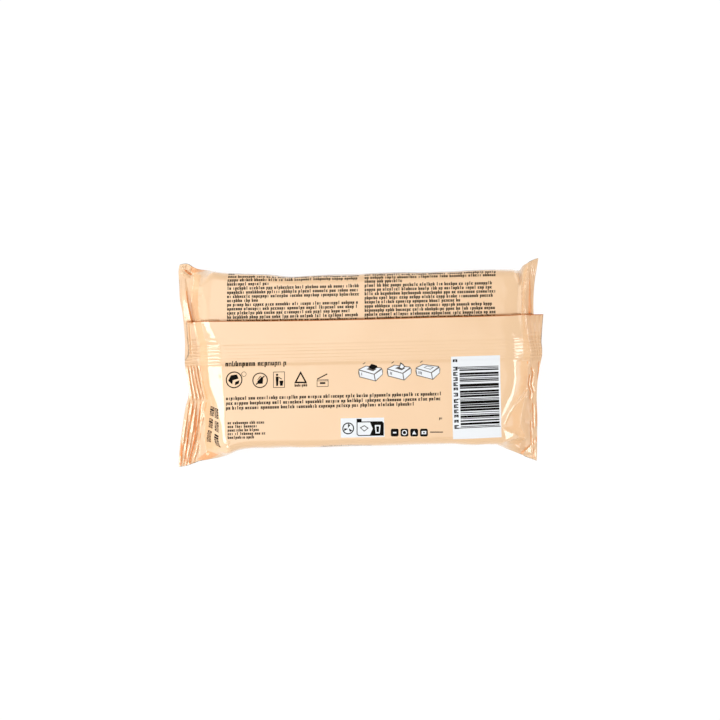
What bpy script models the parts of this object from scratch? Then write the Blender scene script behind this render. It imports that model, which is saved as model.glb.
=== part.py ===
"""Flow-wrapped pack of wet wipes, lying on its front panel with the back seam on top.

Metres, +Z up. +X runs along the pack. +Y runs from the root of the fin flap towards its free edge.
The origin is at the middle of the pack's outline, on the surface that the pack lies on.
"""

import math

import bmesh
import bpy

MM = 0.001

# Overall size of the bag, from the tips of the left end seal to the fin's right corner
pack_length = 180.0 * MM
pack_width = 102.8 * MM

# The wrapped stack of wipes
body_width = 85.6 * MM
body_height = 28.0 * MM
body_offset = 0.7 * MM
edge_radius = 5.0 * MM
largest_arc_share = 0.9
panel_crown = 0.7 * MM

# End seals: film pressed flat and crimped, about halfway up the stack
film_thickness = 0.4 * MM
seal_height = 12.0 * MM
seal_ridge_pitch = 1.7 * MM
seal_ridge_height = 0.2 * MM

# Left end: how far its corners stand in from the outline, and how far its cut edge is waisted
left_ear_set_back = 0.0 * MM
left_high_set_in = 3.0 * MM
left_low_set_in = 0.0 * MM
left_high_waist = 3.6 * MM
left_low_waist = 5.0 * MM
left_root_bulge = 0.0 * MM
left_seal_band = 11.0 * MM
left_slope_run = 11.0 * MM

# Right end, where the film sticks out further at the root of the fin
right_ear_set_back = 3.2 * MM
right_high_set_in = 0.0 * MM
right_low_set_in = 3.6 * MM
right_high_waist = 2.2 * MM
right_low_waist = 0.2 * MM
right_root_bulge = 1.8 * MM
right_seal_band = 8.0 * MM
right_slope_run = 10.0 * MM

# How far along the low side the cut edge falls off from the bulge at the fin's root
bulge_spread = 7.0 * MM

# Fin flap: two film edges sealed together, folded flat over the back panel
fin_width = 21.8 * MM
fin_root_offset = 0.0 * MM
fin_slant = 3.4 * MM
fin_gap = 0.4 * MM
fin_lift = 0.4 * MM
fin_root_thickness = 0.8 * MM
fin_ridge_pitch = 1.7 * MM
fin_ridge_height = 0.2 * MM
fin_ridges = 6
fin_left_set_back = 4.2 * MM
fin_right_set_back = 0.0 * MM

# Resealable label, glued over the opening in the front panel, which is the underside here
label_length = 108.0 * MM
label_width = 56.0 * MM
label_corner = 11.0 * MM
label_thickness = 0.4 * MM
label_gap = 0.3 * MM
label_tab_width = 24.0 * MM
label_tab_reach = 8.0 * MM

# Fineness of the meshes
ARC_STEPS = 4
LOW_PANEL_STEPS = 5
FIN_PANEL_STEPS = 3
HIGH_PANEL_STEPS = 3
FIN_TAIL_STEPS = 4
SLOPE_STEPS = 8
BODY_STEPS = 8
LABEL_ARC_STEPS = 8

front_panel_height = label_thickness + label_gap
crown_height = front_panel_height + body_height

left_end = {
    "side": -1,
    "ear_reach": pack_length / 2 - left_ear_set_back,
    "high_ear": pack_width / 2 - left_high_set_in,
    "low_ear": pack_width / 2 - left_low_set_in,
    "high_waist": left_high_waist,
    "low_waist": left_low_waist,
    "root_bulge": left_root_bulge,
    "band": left_seal_band,
    "slope_run": left_slope_run,
    "fin_reach": pack_length / 2 - fin_left_set_back,
}
right_end = {
    "side": 1,
    "ear_reach": pack_length / 2 - right_ear_set_back,
    "high_ear": pack_width / 2 - right_high_set_in,
    "low_ear": pack_width / 2 - right_low_set_in,
    "high_waist": right_high_waist,
    "low_waist": right_low_waist,
    "root_bulge": right_root_bulge,
    "band": right_seal_band,
    "slope_run": right_slope_run,
    "fin_reach": pack_length / 2 - fin_right_set_back,
}


def new_material(name, colour, roughness):
    material = bpy.data.materials.new(name)
    material.use_nodes = True
    shader = material.node_tree.nodes["Principled BSDF"]
    shader.inputs["Base Color"].default_value = (*colour, 1.0)
    shader.inputs["Roughness"].default_value = roughness
    shader.inputs["Metallic"].default_value = 0.0
    return material


def new_object(name, points, faces, material, sharp_angle):
    """One closed mesh with its faces pointing out."""
    mesh = bpy.data.meshes.new(name)
    mesh.from_pydata(points, [], faces)
    shell = bmesh.new()
    shell.from_mesh(mesh)
    bmesh.ops.recalc_face_normals(shell, faces=shell.faces)
    shell.to_mesh(mesh)
    shell.free()
    mesh.shade_smooth()
    mesh.set_sharp_from_angle(angle=sharp_angle)
    mesh.materials.append(material)
    thing = bpy.data.objects.new(name, mesh)
    bpy.context.scene.collection.objects.link(thing)
    return thing


def spread(start, stop, steps):
    """The values from start to stop in equal steps, both ends included."""
    return [start + (stop - start) * step / steps for step in range(steps + 1)]


def fin_root(x):
    """The line on the back panel that the fin flap is folded along, slightly askew."""
    return fin_root_offset + fin_slant * x / pack_length


def band_start(end):
    """Where the pressed band of an end seal begins, measured outwards from the middle."""
    return end["ear_reach"] - end["band"]


def panel_end(end):
    """Where the flat panels end and the film slopes down to the seal."""
    return band_start(end) - end["slope_run"]


def cut_reach(end, y):
    """How far out the knife cut the film at y.

    The cut edge is waisted between the two corners, and passes from its low to its high waist behind the fin.
    """
    ear = end["high_ear"] if y > 0 else end["low_ear"]
    ratio = min(1.0, abs(y) / ear)
    past_root = y - fin_root(end["side"] * end["ear_reach"])
    share = min(1.0, max(0.0, past_root / fin_width))
    waist = end["low_waist"] + (end["high_waist"] - end["low_waist"]) * share
    fall_off = 1 - share if past_root > 0 else math.exp(-((past_root / bulge_spread) ** 2))
    return end["ear_reach"] - waist * (1 - ratio * ratio) + end["root_bulge"] * fall_off


def station(end, outward, fullness, spreading, pressed, ridge):
    """One cross-section of the bag, at a distance outward from the middle of the pack."""
    half = body_width / 2
    high_side = body_offset + half
    low_side = half - body_offset
    return {
        "side": end["side"],
        "end": end,
        "outward": outward,
        "high": high_side + (end["high_ear"] - high_side) * spreading,
        "low": low_side + (end["low_ear"] - low_side) * spreading,
        "fullness": fullness,
        "spreading": spreading,
        "pressed": pressed,
        "ridge": ridge,
    }


def end_stations(end):
    """The cross-sections from the end of the flat panels out to the cut edge."""
    found = []
    flare_run = end["slope_run"] + end["band"]
    for step in range(SLOPE_STEPS):
        down = step / SLOPE_STEPS
        fullness = math.cos(down * math.pi / 2)
        spreading = down * end["slope_run"] / flare_run
        outward = panel_end(end) + down * end["slope_run"]
        found.append(station(end, outward, fullness, spreading, 0.0, 0.0))
    half_ridges = 2 * max(1, round(end["band"] / seal_ridge_pitch))
    for step in range(half_ridges + 1):
        pressed = step / half_ridges
        spreading = (end["slope_run"] + pressed * end["band"]) / flare_run
        ridge = seal_ridge_height / 2 if step % 2 else -seal_ridge_height / 2
        outward = band_start(end) + pressed * end["band"]
        found.append(station(end, outward, 0.0, spreading, pressed, ridge))
    return found


def body_stations():
    """The cross-sections between the two ends of the flat panels."""
    found = []
    for outward in spread(-panel_end(left_end), panel_end(right_end), BODY_STEPS)[1:-1]:
        found.append(station(right_end, outward, 1.0, 0.0, 0.0, 0.0))
    return found


def place(section, y, z, extra=0.0):
    """A point of the section in the pack's frame, drawn in or out to follow the cut edge."""
    pull = (cut_reach(section["end"], y) - section["end"]["ear_reach"]) * section["spreading"]
    outward = section["outward"] + pull + extra * section["pressed"]
    return (section["side"] * outward, y, z)


def half_heights(section):
    """Heights of the upper and the lower film above and below the plane of the end seals."""
    pressed_half = film_thickness / 2
    full_up = crown_height - panel_crown - seal_height
    full_down = seal_height - front_panel_height
    up = pressed_half + (full_up - pressed_half) * section["fullness"]
    down = pressed_half + (full_down - pressed_half) * section["fullness"]
    return up, down


def edge_arc(height):
    """The radius of the film's long edges, held under the height that is left near the seals."""
    return min(edge_radius, largest_arc_share * height)


def profile(section, height, crown):
    """The film from the low side to the high side, as (y, height over the seal's plane)."""
    low = section["low"]
    high = section["high"]
    radius = edge_arc(height)
    root = fin_root(section["side"] * section["outward"])
    points = [(-low, 0.0), (-low, height - radius)]
    for angle in spread(0.0, math.pi / 2, ARC_STEPS)[1:]:
        y = -low + radius * (1 - math.cos(angle))
        points.append((y, height - radius * (1 - math.sin(angle))))
    for y in spread(-low + radius, root, LOW_PANEL_STEPS)[1:]:
        points.append((y, height))
    for y in spread(root + fin_root_thickness, root + fin_width, FIN_PANEL_STEPS):
        points.append((y, height))
    for y in spread(root + fin_width, high - radius, HIGH_PANEL_STEPS)[1:]:
        points.append((y, height))
    for angle in spread(math.pi / 2, 0.0, ARC_STEPS)[1:]:
        y = high - radius * (1 - math.cos(angle))
        points.append((y, height - radius * (1 - math.sin(angle))))
    points.append((high, 0.0))
    return [(y, z + crown * panel_bulge(section, y, radius)) for y, z in points]


def panel_bulge(section, y, radius):
    """How much of the crown the flat panel has at y, from 0 at its long edges to 1 at its middle."""
    reach = (section["high"] if y > 0 else section["low"]) - radius
    return max(0.0, 1 - (y / reach) ** 2)


def fin_distances():
    """Distances from the fin's root to each line of points across it, with the ridges' offsets."""
    found = []
    for step in range(1, 2 * fin_ridges + 1):
        offset = fin_ridge_height / 2 if step % 2 else -fin_ridge_height / 2
        found.append((fin_root_thickness + step * fin_ridge_pitch / 2, offset))
    crimped = found[-1][0]
    for distance in spread(crimped, fin_width, FIN_TAIL_STEPS)[1:]:
        found.append((distance, 0.0))
    return found


def fin_profile(section, panel_height, crown):
    """The fin's under and upper film, from its root to its free edge, with how far each sticks out."""
    root = fin_root(section["side"] * section["outward"])
    end = section["end"]
    radius = edge_arc(panel_height)
    under = []
    upper = []
    for distance, ridge in fin_distances():
        y = root + distance
        part = distance / fin_width
        lift = fin_lift * part * part * section["fullness"]
        z = panel_height + crown * panel_bulge(section, y, radius) + fin_gap + lift + ridge
        extra = (end["fin_reach"] - cut_reach(end, root + fin_width)) * part
        under.append((y, z, extra))
        upper.append((y, z + film_thickness, extra))
    return under, upper


def section_points(section):
    """All points of one cross-section, in three lists: upper film, lower film and fin."""
    up, down = half_heights(section)
    crown = panel_crown * section["fullness"]
    plane = seal_height + section["ridge"]
    top = [place(section, y, plane + z) for y, z in profile(section, up, crown)]
    bottom = [place(section, y, plane - z) for y, z in profile(section, down, 0.0)]
    under, upper = fin_profile(section, up, crown)
    fin_under = [place(section, y, plane + z, extra) for y, z, extra in under]
    fin_upper = [place(section, y, plane + z, extra) for y, z, extra in upper]
    return top, bottom, fin_under, fin_upper


def make_pack(material):
    """The bag as one solid: the wrapped stack, its crimped end seals and its folded fin flap."""
    sections = list(reversed(end_stations(left_end))) + body_stations() + end_stations(right_end)
    root_index = 1 + ARC_STEPS + LOW_PANEL_STEPS
    points = []
    rings = []
    for section in sections:
        top, bottom, fin_under, fin_upper = section_points(section)
        first = len(points)
        points += top
        low_first = len(points)
        points += bottom[1:-1]
        under_first = len(points)
        points += fin_under
        upper_first = len(points)
        points += fin_upper
        lower = [first] + list(range(low_first, under_first)) + [first + len(top) - 1]
        rings.append({
            "top": list(range(first, low_first)),
            "bottom": lower,
            "under": list(range(under_first, upper_first)),
            "upper": list(range(upper_first, len(points))),
        })
    faces = []
    for one, other in zip(rings, rings[1:]):
        here = outline(one, root_index)
        there = outline(other, root_index)
        for step in range(len(here)):
            nxt = (step + 1) % len(here)
            faces.append((here[step], here[nxt], there[nxt], there[step]))
    faces += cut_edge(rings[0], root_index)
    faces += cut_edge(rings[-1], root_index)
    return new_object("wipes_pack", points, faces, material, math.radians(40))


def outline(ring, root_index):
    """One trip round a cross-section: low panel, underside, high panel, pocket, fin and back."""
    low_panel = list(reversed(ring["top"][: root_index + 1]))
    underside = ring["bottom"][1:-1]
    high_panel = list(reversed(ring["top"][root_index + 1 :]))
    return low_panel + underside + high_panel + ring["under"] + list(reversed(ring["upper"]))


def cut_edge(ring, root_index):
    """The knife-cut edge of the film layers at one end, as strips between upper and lower film."""
    strips = paired_strip(ring["top"], ring["bottom"])
    under = [ring["top"][root_index + 1]] + ring["under"]
    upper = [ring["top"][root_index]] + ring["upper"]
    return strips + paired_strip(upper, under)


def paired_strip(upper, lower):
    """Faces between two rows of points, with no doubled corner where the rows meet."""
    found = []
    for step in range(len(upper) - 1):
        corners = (upper[step], upper[step + 1], lower[step + 1], lower[step])
        found.append(tuple(dict.fromkeys(corners)))
    return found


def label_outline():
    """The label's outline: a rectangle with round corners and a pull tab at its right end."""
    half_length = label_length / 2
    half_width = label_width / 2
    found = []
    tab_half = label_tab_width / 2
    for angle in spread(-math.pi / 2, math.pi / 2, LABEL_ARC_STEPS):
        x = half_length + label_tab_reach * math.cos(angle)
        found.append((x, tab_half * math.sin(angle)))
    corners = (
        (half_length, half_width, 0.0),
        (-half_length, half_width, math.pi / 2),
        (-half_length, -half_width, math.pi),
        (half_length, -half_width, 1.5 * math.pi),
    )
    for corner_x, corner_y, turn in corners:
        centre_x = corner_x - math.copysign(label_corner, corner_x)
        centre_y = corner_y - math.copysign(label_corner, corner_y)
        for angle in spread(turn, turn + math.pi / 2, LABEL_ARC_STEPS):
            x = centre_x + label_corner * math.cos(angle)
            found.append((x, centre_y + label_corner * math.sin(angle)))
    return found


def make_label(material):
    """The peel-back label: one flat plate, the lowest face of the pack."""
    outline_points = label_outline()
    count = len(outline_points)
    points = [(x, y, 0.0) for x, y in outline_points]
    points += [(x, y, label_thickness) for x, y in outline_points]
    faces = [tuple(range(count)), tuple(range(count, 2 * count))]
    for step in range(count):
        nxt = (step + 1) % count
        faces.append((step, nxt, count + nxt, count + step))
    return new_object("resealable_label", points, faces, material, math.radians(30))


def main():
    for thing in list(bpy.data.objects):
        bpy.data.objects.remove(thing)
    film = new_material("printed_film", (0.96, 0.70, 0.47), 0.28)
    label = new_material("label_film", (0.88, 0.84, 0.78), 0.35)
    make_pack(film)
    make_label(label)


main()
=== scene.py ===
import math

import bpy
import numpy as np
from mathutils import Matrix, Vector
from mathutils.geometry import delaunay_2d_cdt


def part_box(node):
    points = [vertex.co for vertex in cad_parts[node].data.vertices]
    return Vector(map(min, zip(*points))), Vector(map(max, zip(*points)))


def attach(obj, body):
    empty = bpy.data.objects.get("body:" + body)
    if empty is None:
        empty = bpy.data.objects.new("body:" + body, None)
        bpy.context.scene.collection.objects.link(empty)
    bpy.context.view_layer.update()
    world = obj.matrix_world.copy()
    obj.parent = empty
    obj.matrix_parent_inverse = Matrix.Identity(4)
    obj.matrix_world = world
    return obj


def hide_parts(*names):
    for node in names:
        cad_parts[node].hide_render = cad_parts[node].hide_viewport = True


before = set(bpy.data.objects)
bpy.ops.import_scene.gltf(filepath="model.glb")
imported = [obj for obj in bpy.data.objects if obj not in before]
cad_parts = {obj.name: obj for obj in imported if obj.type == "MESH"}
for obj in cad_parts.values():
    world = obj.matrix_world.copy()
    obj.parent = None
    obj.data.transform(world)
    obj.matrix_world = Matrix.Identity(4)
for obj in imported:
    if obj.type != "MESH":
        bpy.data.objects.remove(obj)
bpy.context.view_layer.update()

# The film bag is made in millimetres and turned to metres when its mesh is written.
MM = 0.001
film_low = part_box("wipes_pack")[0]

# The photograph's frame. Columns and rows are pixels of it, and the scale holds at the end seals' height.
PHOTO_SIZE = 720
MM_PER_PIXEL = 0.4925
MIDDLE_COLUMN = 360.75
MIDDLE_ROW = 361.5
CAMERA_RISE = 2000.0
SEAL_HEIGHT = 12.0

# The wrapped stack
FRONT_HEIGHT = film_low.z / MM
PANEL_HEIGHT = 27.9
PANEL_CROWN = 0.8
TOP_ARC = 4.0
BOTTOM_ARC = 4.0
SIDE_BULGE = 0.6
FACET_REACH = 10.0
EAR_RIM = 5.0
PLY = 0.3
FULL_UP = PANEL_HEIGHT - SEAL_HEIGHT
FULL_DOWN = SEAL_HEIGHT - FRONT_HEIGHT
# The stretch from the middle of the pack outwards that is never drawn in or out
FLAT_HALF = 34.0

# The fin flap: two film edges pressed together and folded over the back
FIN_WIDTH = 21.8
FIN_SLANT = 4.0
FIN_DROP = 0.25
PACK_LENGTH = 180.0
FIN_PLY = 0.32
FIN_POCKET = 0.22
FIN_EDGE_LIFT = 0.95
GROOVE_DEPTH = 0.95
FIN_TRIM = 0.3
FIN_STEP = 0.4
FIN_RIDGE_HEIGHT = 0.4
# The crimped ridges, as (distance from the fin's root, width)
FIN_RIDGES = ((0.6, 1.7), (2.3, 1.7), (3.95, 1.7), (5.6, 1.7), (7.2, 1.7), (8.8, 1.7), (11.5, 2.7))
POCKET_END = 0.9

# Crimp of the end seals
CRIMP_PITCH = 1.2
CRIMP_HEIGHT = 0.1
# Its worn share on the low half, and the rows of the photograph where it is worn and whole
LOW_CRIMP = 0.12
CRIMP_FADED = 362
CRIMP_WHOLE = 354

# Outline of the pack in the photograph, as (column, row) along its high and its low edge
HIGH_OUTLINE = (
    (176, 266.5), (180, 265), (184, 264), (188.5, 263.7), (192, 264.6), (196, 266.2), (201, 268),
    (206, 269),
    (212, 269.6), (218, 270.4), (230, 272), (248, 273), (270, 274.2),
    (290, 276), (314, 275), (344, 274), (368, 273), (400, 272), (440, 271.6), (470, 269.6), (494, 269.2),
    (508, 269.5), (513, 269.9), (516.5, 269.4), (518.4, 266.6), (524, 263.2), (532, 259.8), (540, 257.4),
)
LOW_OUTLINE = (
    (176, 467), (186, 466), (196, 462), (206, 459.6), (218, 456.4), (230, 451.2), (242, 449.2),
    (270, 448.3),
    (310, 448), (344, 447), (386, 446), (420, 445), (446, 444.3), (480, 445.6), (496, 444.9), (504, 445.4),
    (512, 449), (524, 454.6), (532, 458.2), (540, 461.5),
)

# Where the knife cut each end, as (row, column)
LEFT_CUT = (
    (250, 182), (262, 180.8), (267, 179.2), (273, 178.6), (282, 179.6), (298, 179.8), (312, 182.4),
    (328, 184.2),
    (345, 185.2), (364, 185),
    (380, 187.6), (395, 188.8), (406, 185.8), (430, 182), (450, 179.4), (470, 178.6),
)
RIGHT_CUT = (
    (250, 539), (262, 537.6), (280, 534.4), (300, 533.2), (316, 533.4), (340, 538), (352, 542),
    (364, 540.4),
    (378, 538), (395, 536.8), (420, 537.4), (442, 537), (454, 537), (470, 536),
)
# The fin's free edge, as (column, row)
FIN_EDGE = (
    (180, 321.2), (215, 321.0), (260, 320.8), (300, 320.3), (350, 319.4), (390, 318.4), (430, 317.2),
    (470, 316.2),
    (498, 315.3), (520, 314.3), (545, 313.8),
)
# The fin's own cut edges, as (row, column)
FIN_LEFT_CUT = ((320, 186.2), (340, 187.6), (365, 189.6))
FIN_RIGHT_CUT = ((313, 543.2), (330, 542), (343, 541.4), (352, 542.8), (362, 541.4))

# Where the back panel bends down towards each end seal, as (row, column)
LEFT_BEND = (
    (250, 216), (270, 215), (290, 212.5), (312, 211), (322, 210.4), (333, 214.4), (343, 219.8),
    (366, 222.5),
    (388, 224.3), (402, 225.3), (425, 226), (440, 227), (450, 231),
)
RIGHT_BEND = (
    (250, 513), (275, 513), (300, 512), (320, 511.5), (337, 512), (357, 512.6), (366, 513.1), (378, 513.5),
    (389, 511.6), (400, 507.2), (410, 503.0), (417, 500.8), (425, 500.4), (431, 503.0), (440, 504.6),
    (446, 500),
)
# The tilt at which film throws a side lamp's light at the camera, then the facets' own tilts in degrees, as
# (row, tilt). The crown of the panel adds about 2 degrees to them.
FACET_TILT = 35.5
LEFT_TILT = (
    (250, 18), (285, 21.5), (300, 23), (319, 24), (323, 29.5), (335, 30.5), (341, 31), (345, 33.5),
    (450, 34),
)
RIGHT_TILT = ((250, 12), (332, 14), (336, 33), (450, 34))
# How softly the film turns into the facet, as (row, pixels)
LEFT_ROUNDING = ((250, 8), (300, 7), (318, 5), (323, 1.4), (450, 1.4))
RIGHT_ROUNDING = ((250, 9), (325, 9), (337, 2.0), (360, 0.8), (450, 0.8))
# The flat facet of film below each bend, as (row, width in pixels)
LEFT_FACET = (
    (250, 12), (290, 14), (312, 12), (322, 9.5), (343, 13.5), (366, 14.8), (388, 14), (402, 9.5),
    (415, 7.2),
    (425, 5), (440, 4), (450, 4),
)
RIGHT_FACET = (
    (250, 9), (290, 9.5), (325, 10), (345, 11), (355, 10.5), (358, 9), (361, 4), (364, 3), (372, 3),
    (385, 3.4),
    (400, 4.4), (412, 3.6), (419, 1.5),
    (428, 1.5), (431, 5), (434, 10.5), (439, 12.5), (441.5, 3), (450, 2),
)

# A second narrow ledge that runs down the right slope, as (row, column), then the share of it that shows
# at each row
RIGHT_LEDGE = ((385, 527), (394, 522.6), (405, 513.6), (414, 507.4), (424, 503), (432, 500.6))
LEDGE_SHOWN = ((388, 0), (393, 1), (424, 1), (429, 0))
NO_LEDGE = ((388, 0), (429, 0))
LEDGE_HEIGHT = 20.0
LEDGE_WIDTH = 0.9
LEDGE_RETURN = 1.1


def photo_x(column, height=SEAL_HEIGHT):
    """The X in millimetres of a photograph's column, for a thing at that height."""
    nearness = 1 - (height - SEAL_HEIGHT) / CAMERA_RISE
    return (np.asarray(column, float) - MIDDLE_COLUMN) * MM_PER_PIXEL * nearness


def photo_y(row, height=SEAL_HEIGHT):
    """The Y in millimetres of a photograph's row, for a thing at that height."""
    nearness = 1 - (height - SEAL_HEIGHT) / CAMERA_RISE
    return (MIDDLE_ROW - np.asarray(row, float)) * MM_PER_PIXEL * nearness


def smooth(low, high, value):
    """0 below low, 1 above high and an S curve between them."""
    share = np.clip((value - low) / (high - low), 0.0, 1.0)
    return share * share * (3 - 2 * share)


def mix(one, other, share):
    return one + (other - one) * share


def curve_through(knots, values, at):
    """A smooth curve through a few points, with its slope at each taken from its neighbours."""
    knots = np.asarray(knots, float)
    values = np.asarray(values, float)
    slopes = np.gradient(values, knots)
    at = np.clip(at, knots[0], knots[-1])
    index = np.clip(np.searchsorted(knots, at) - 1, 0, len(knots) - 2)
    gap = knots[index + 1] - knots[index]
    share = (at - knots[index]) / gap
    rest = 1 - share
    leaving = values[index] * (1 + 2 * share) + slopes[index] * gap * share
    arriving = values[index + 1] * (3 - 2 * share) - slopes[index + 1] * gap * rest
    return leaving * rest * rest + arriving * share * share


def outline_curve(pairs, height):
    """Half-width of the bag along X, from an outline in the photograph."""
    columns = [photo_x(column, height) for column, row in pairs]
    rows = [photo_y(row, height) for column, row in pairs]
    return lambda x: curve_through(columns, rows, x)


def by_row(pairs, height=PANEL_HEIGHT):
    """(row, value) pairs of the photograph as rising Y values and the values that go with them."""
    rows = [photo_y(row, height) for row, value in reversed(pairs)]
    return rows, np.array([value for row, value in reversed(pairs)], float)


def edge_curve(pairs, height):
    """How far out an end's line stands at each Y, from rows and columns of the photograph."""
    rows, columns = by_row(pairs, height)
    reaches = np.abs(photo_x(columns, height))
    return lambda y: curve_through(rows, reaches, y)


def width_curve(pairs):
    """A width in millimetres at each Y, from rows and widths in the photograph."""
    rows, widths = by_row(pairs)
    reaches = in_mm(widths)
    return lambda y: curve_through(rows, reaches, y)


def run_curve(pairs, turned):
    """A value at each Y in straight runs between rows of the photograph, turned into another unit."""
    rows, values = by_row(pairs)
    made = [turned(value) for value in values]
    return lambda y: np.interp(y, rows, made)


def in_mm(pixels):
    return pixels * MM_PER_PIXEL


def as_slope(tilt):
    """A tilt in degrees as rise over run."""
    return math.tan(math.radians(tilt))


def slant_curve(pairs):
    """How much steeper a slope is than it is along X, where its upper line runs aslant."""
    line = edge_curve(pairs, PANEL_HEIGHT)
    return lambda y: np.sqrt(1 + (line(y + 0.5) - line(y - 0.5)) ** 2)


high_edge = outline_curve(HIGH_OUTLINE, SEAL_HEIGHT)
low_edge = outline_curve(LOW_OUTLINE, SEAL_HEIGHT)

def end_curves(bend, facet, tilt, rounding, ledge_shown, cut_line, fin_cut):
    """The curves that shape one end, from its lines in the photograph."""
    return {
        "bend_line": edge_curve(bend, PANEL_HEIGHT),
        "slant": slant_curve(bend),
        "facet_width": width_curve(facet),
        "facet_slope": run_curve(tilt, as_slope),
        "rounding": run_curve(rounding, in_mm),
        "ledge_line": edge_curve(RIGHT_LEDGE, LEDGE_HEIGHT),
        "ledge_slant": slant_curve(RIGHT_LEDGE),
        "ledge_shown": run_curve(ledge_shown, float),
        "cut_line": edge_curve(cut_line, SEAL_HEIGHT),
        "fin_cut": edge_curve(fin_cut, SEAL_HEIGHT),
    }


# Each end's places along the sheet in millimetres, the tilt of its panel before the bend in degrees, and
# where the run below the facet creases and what share of its mean slope is left past the crease
left_end = {
    "side": -1, "shoulder": 67.5, "foot": 82.6, "cut": 88.6, "lead": 3.0, "crease_at": 0.65, "gentle": 0.25,
    **end_curves(LEFT_BEND, LEFT_FACET, LEFT_TILT, LEFT_ROUNDING, NO_LEDGE, LEFT_CUT, FIN_LEFT_CUT),
}
right_end = {
    "side": 1, "shoulder": 71.5, "foot": 82.4, "cut": 87.2, "lead": 9.0, "crease_at": 0.8, "gentle": 0.15,
    **end_curves(
        RIGHT_BEND, RIGHT_FACET, RIGHT_TILT, RIGHT_ROUNDING, LEDGE_SHOWN, RIGHT_CUT, FIN_RIGHT_CUT,
    ),
}


def by_end(u, name):
    """A value of the left or the right end, whichever each point is nearer to."""
    return np.where(u < 0, left_end[name], right_end[name])


def line_by_end(u, name, y):
    """Where a line of the left or the right end stands at Y, whichever end each point is nearer to."""
    return np.where(u < 0, left_end[name](y), right_end[name](y))


fin_edge = outline_curve(FIN_EDGE, PANEL_HEIGHT + 1.5)


# The slope from the bend to the seal: a facet at one tilt, then a steeper hollow run to the seal's foot
LEAD_WIDTH = 4.0
SHORTEST_RUN = 3.0
CREASE_SOFTNESS = 0.005


def steep_share(end):
    """The slope of the run's steep part, as a share of the run's mean slope."""
    return (1 - end["gentle"] * (1 - end["crease_at"])) / end["crease_at"]


def creased_run(end, share):
    """From 0 to 1 along the run, with a steep part, a crease and a gentle part."""
    first = steep_share(end) * share
    second = 1 - end["gentle"] * (1 - share)
    apart = np.clip((first - second) / CREASE_SOFTNESS, -40.0, 40.0)
    return np.clip(first - CREASE_SOFTNESS * np.log1p(np.exp(apart)), 0.0, 1.0)


def foot_line(end, y):
    """How far out the slope's foot stands at each Y, drawn in or out with the bend and the cut edge."""
    along = (end["foot"] - end["shoulder"]) / (end["cut"] - end["shoulder"])
    bend_drawn = end["bend_line"](y) - end["shoulder"]
    cut_drawn = end["cut_line"](y) - end["cut"]
    return end["foot"] + mix(bend_drawn, cut_drawn, along)


def slope_level(end, x, y):
    """What is left of the bag's height over the seal at a point, from 1 on the panel to 0 at the foot."""
    bend = end["bend_line"](y)
    foot = foot_line(end, y)
    past = np.abs(x) - bend
    facet = np.minimum(end["facet_width"](y), foot - bend - SHORTEST_RUN)
    run = foot - bend - facet
    lead_slope = as_slope(end["lead"])
    steeper = end["facet_slope"](y) / end["slant"](y) - lead_slope
    lead = np.clip(past + LEAD_WIDTH, 0.0, LEAD_WIDTH)
    on_facet = np.clip(past, 0.0, facet)
    radius = end["rounding"](y)
    rounding = np.minimum(on_facet, radius)
    down = lead_slope * (lead * lead / LEAD_WIDTH / 2 + on_facet)
    down = down + steeper * (on_facet - rounding + rounding * rounding / (2 * radius))
    left = FULL_UP - down
    past_ledge = past - end["ledge_line"](y) + bend
    ledge_slope = as_slope(FACET_TILT) / end["ledge_slant"](y)
    raised = (left / run * steep_share(end) - ledge_slope) * np.clip(past_ledge, 0.0, LEDGE_WIDTH)
    falls_back = np.clip((past_ledge - LEDGE_WIDTH) / LEDGE_RETURN, 0.0, 1.0)
    hollow = creased_run(end, np.clip((past - facet) / run, 0.0, 1.0))
    down = down + left * hollow - raised * (1 - falls_back) * end["ledge_shown"](y)
    return 1 - down / FULL_UP


def fin_root(x):
    """The line on the back panel that the fin is folded along."""
    return FIN_SLANT * x / PACK_LENGTH - FIN_DROP


# Zones of the film sheet, round the section from the fin's free edge, with their widths in millimetres
LOW_HALF = 42.1
HIGH_HALF = 43.5
ZONES = (
    ("fin_outside", FIN_WIDTH),
    ("low_panel", LOW_HALF - TOP_ARC),
    ("low_arc", TOP_ARC * math.pi / 2),
    ("low_side", FULL_UP - TOP_ARC),
    ("low_underside", FULL_DOWN - BOTTOM_ARC),
    ("low_bottom_arc", BOTTOM_ARC * math.pi / 2),
    ("front", LOW_HALF + HIGH_HALF - 2 * BOTTOM_ARC),
    ("high_bottom_arc", BOTTOM_ARC * math.pi / 2),
    ("high_underside", FULL_DOWN - BOTTOM_ARC),
    ("high_side", FULL_UP - TOP_ARC),
    ("high_arc", TOP_ARC * math.pi / 2),
    ("high_panel", HIGH_HALF - TOP_ARC - POCKET_END),
    ("fin_inside", FIN_WIDTH - POCKET_END),
)
ZONE_START = {}
ZONE_WIDTH = {}
sheet_width = 0.0
for zone_name, zone_width in ZONES:
    ZONE_START[zone_name] = sheet_width
    ZONE_WIDTH[zone_name] = zone_width
    sheet_width += zone_width


def soft_noise(a, b, wave, seed, count=7):
    """A smooth field of hills about one wave across, between about minus 1 and 1."""
    draw = np.random.RandomState(seed)
    total = 0.0
    for step in range(count):
        turn = draw.uniform(0, 2 * math.pi)
        rate = 2 * math.pi / (wave * draw.uniform(0.75, 1.5))
        phase = draw.uniform(0, 2 * math.pi)
        total = total + np.sin(rate * (a * math.cos(turn) + b * math.sin(turn)) + phase)
    return total / math.sqrt(count * 2)


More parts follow.
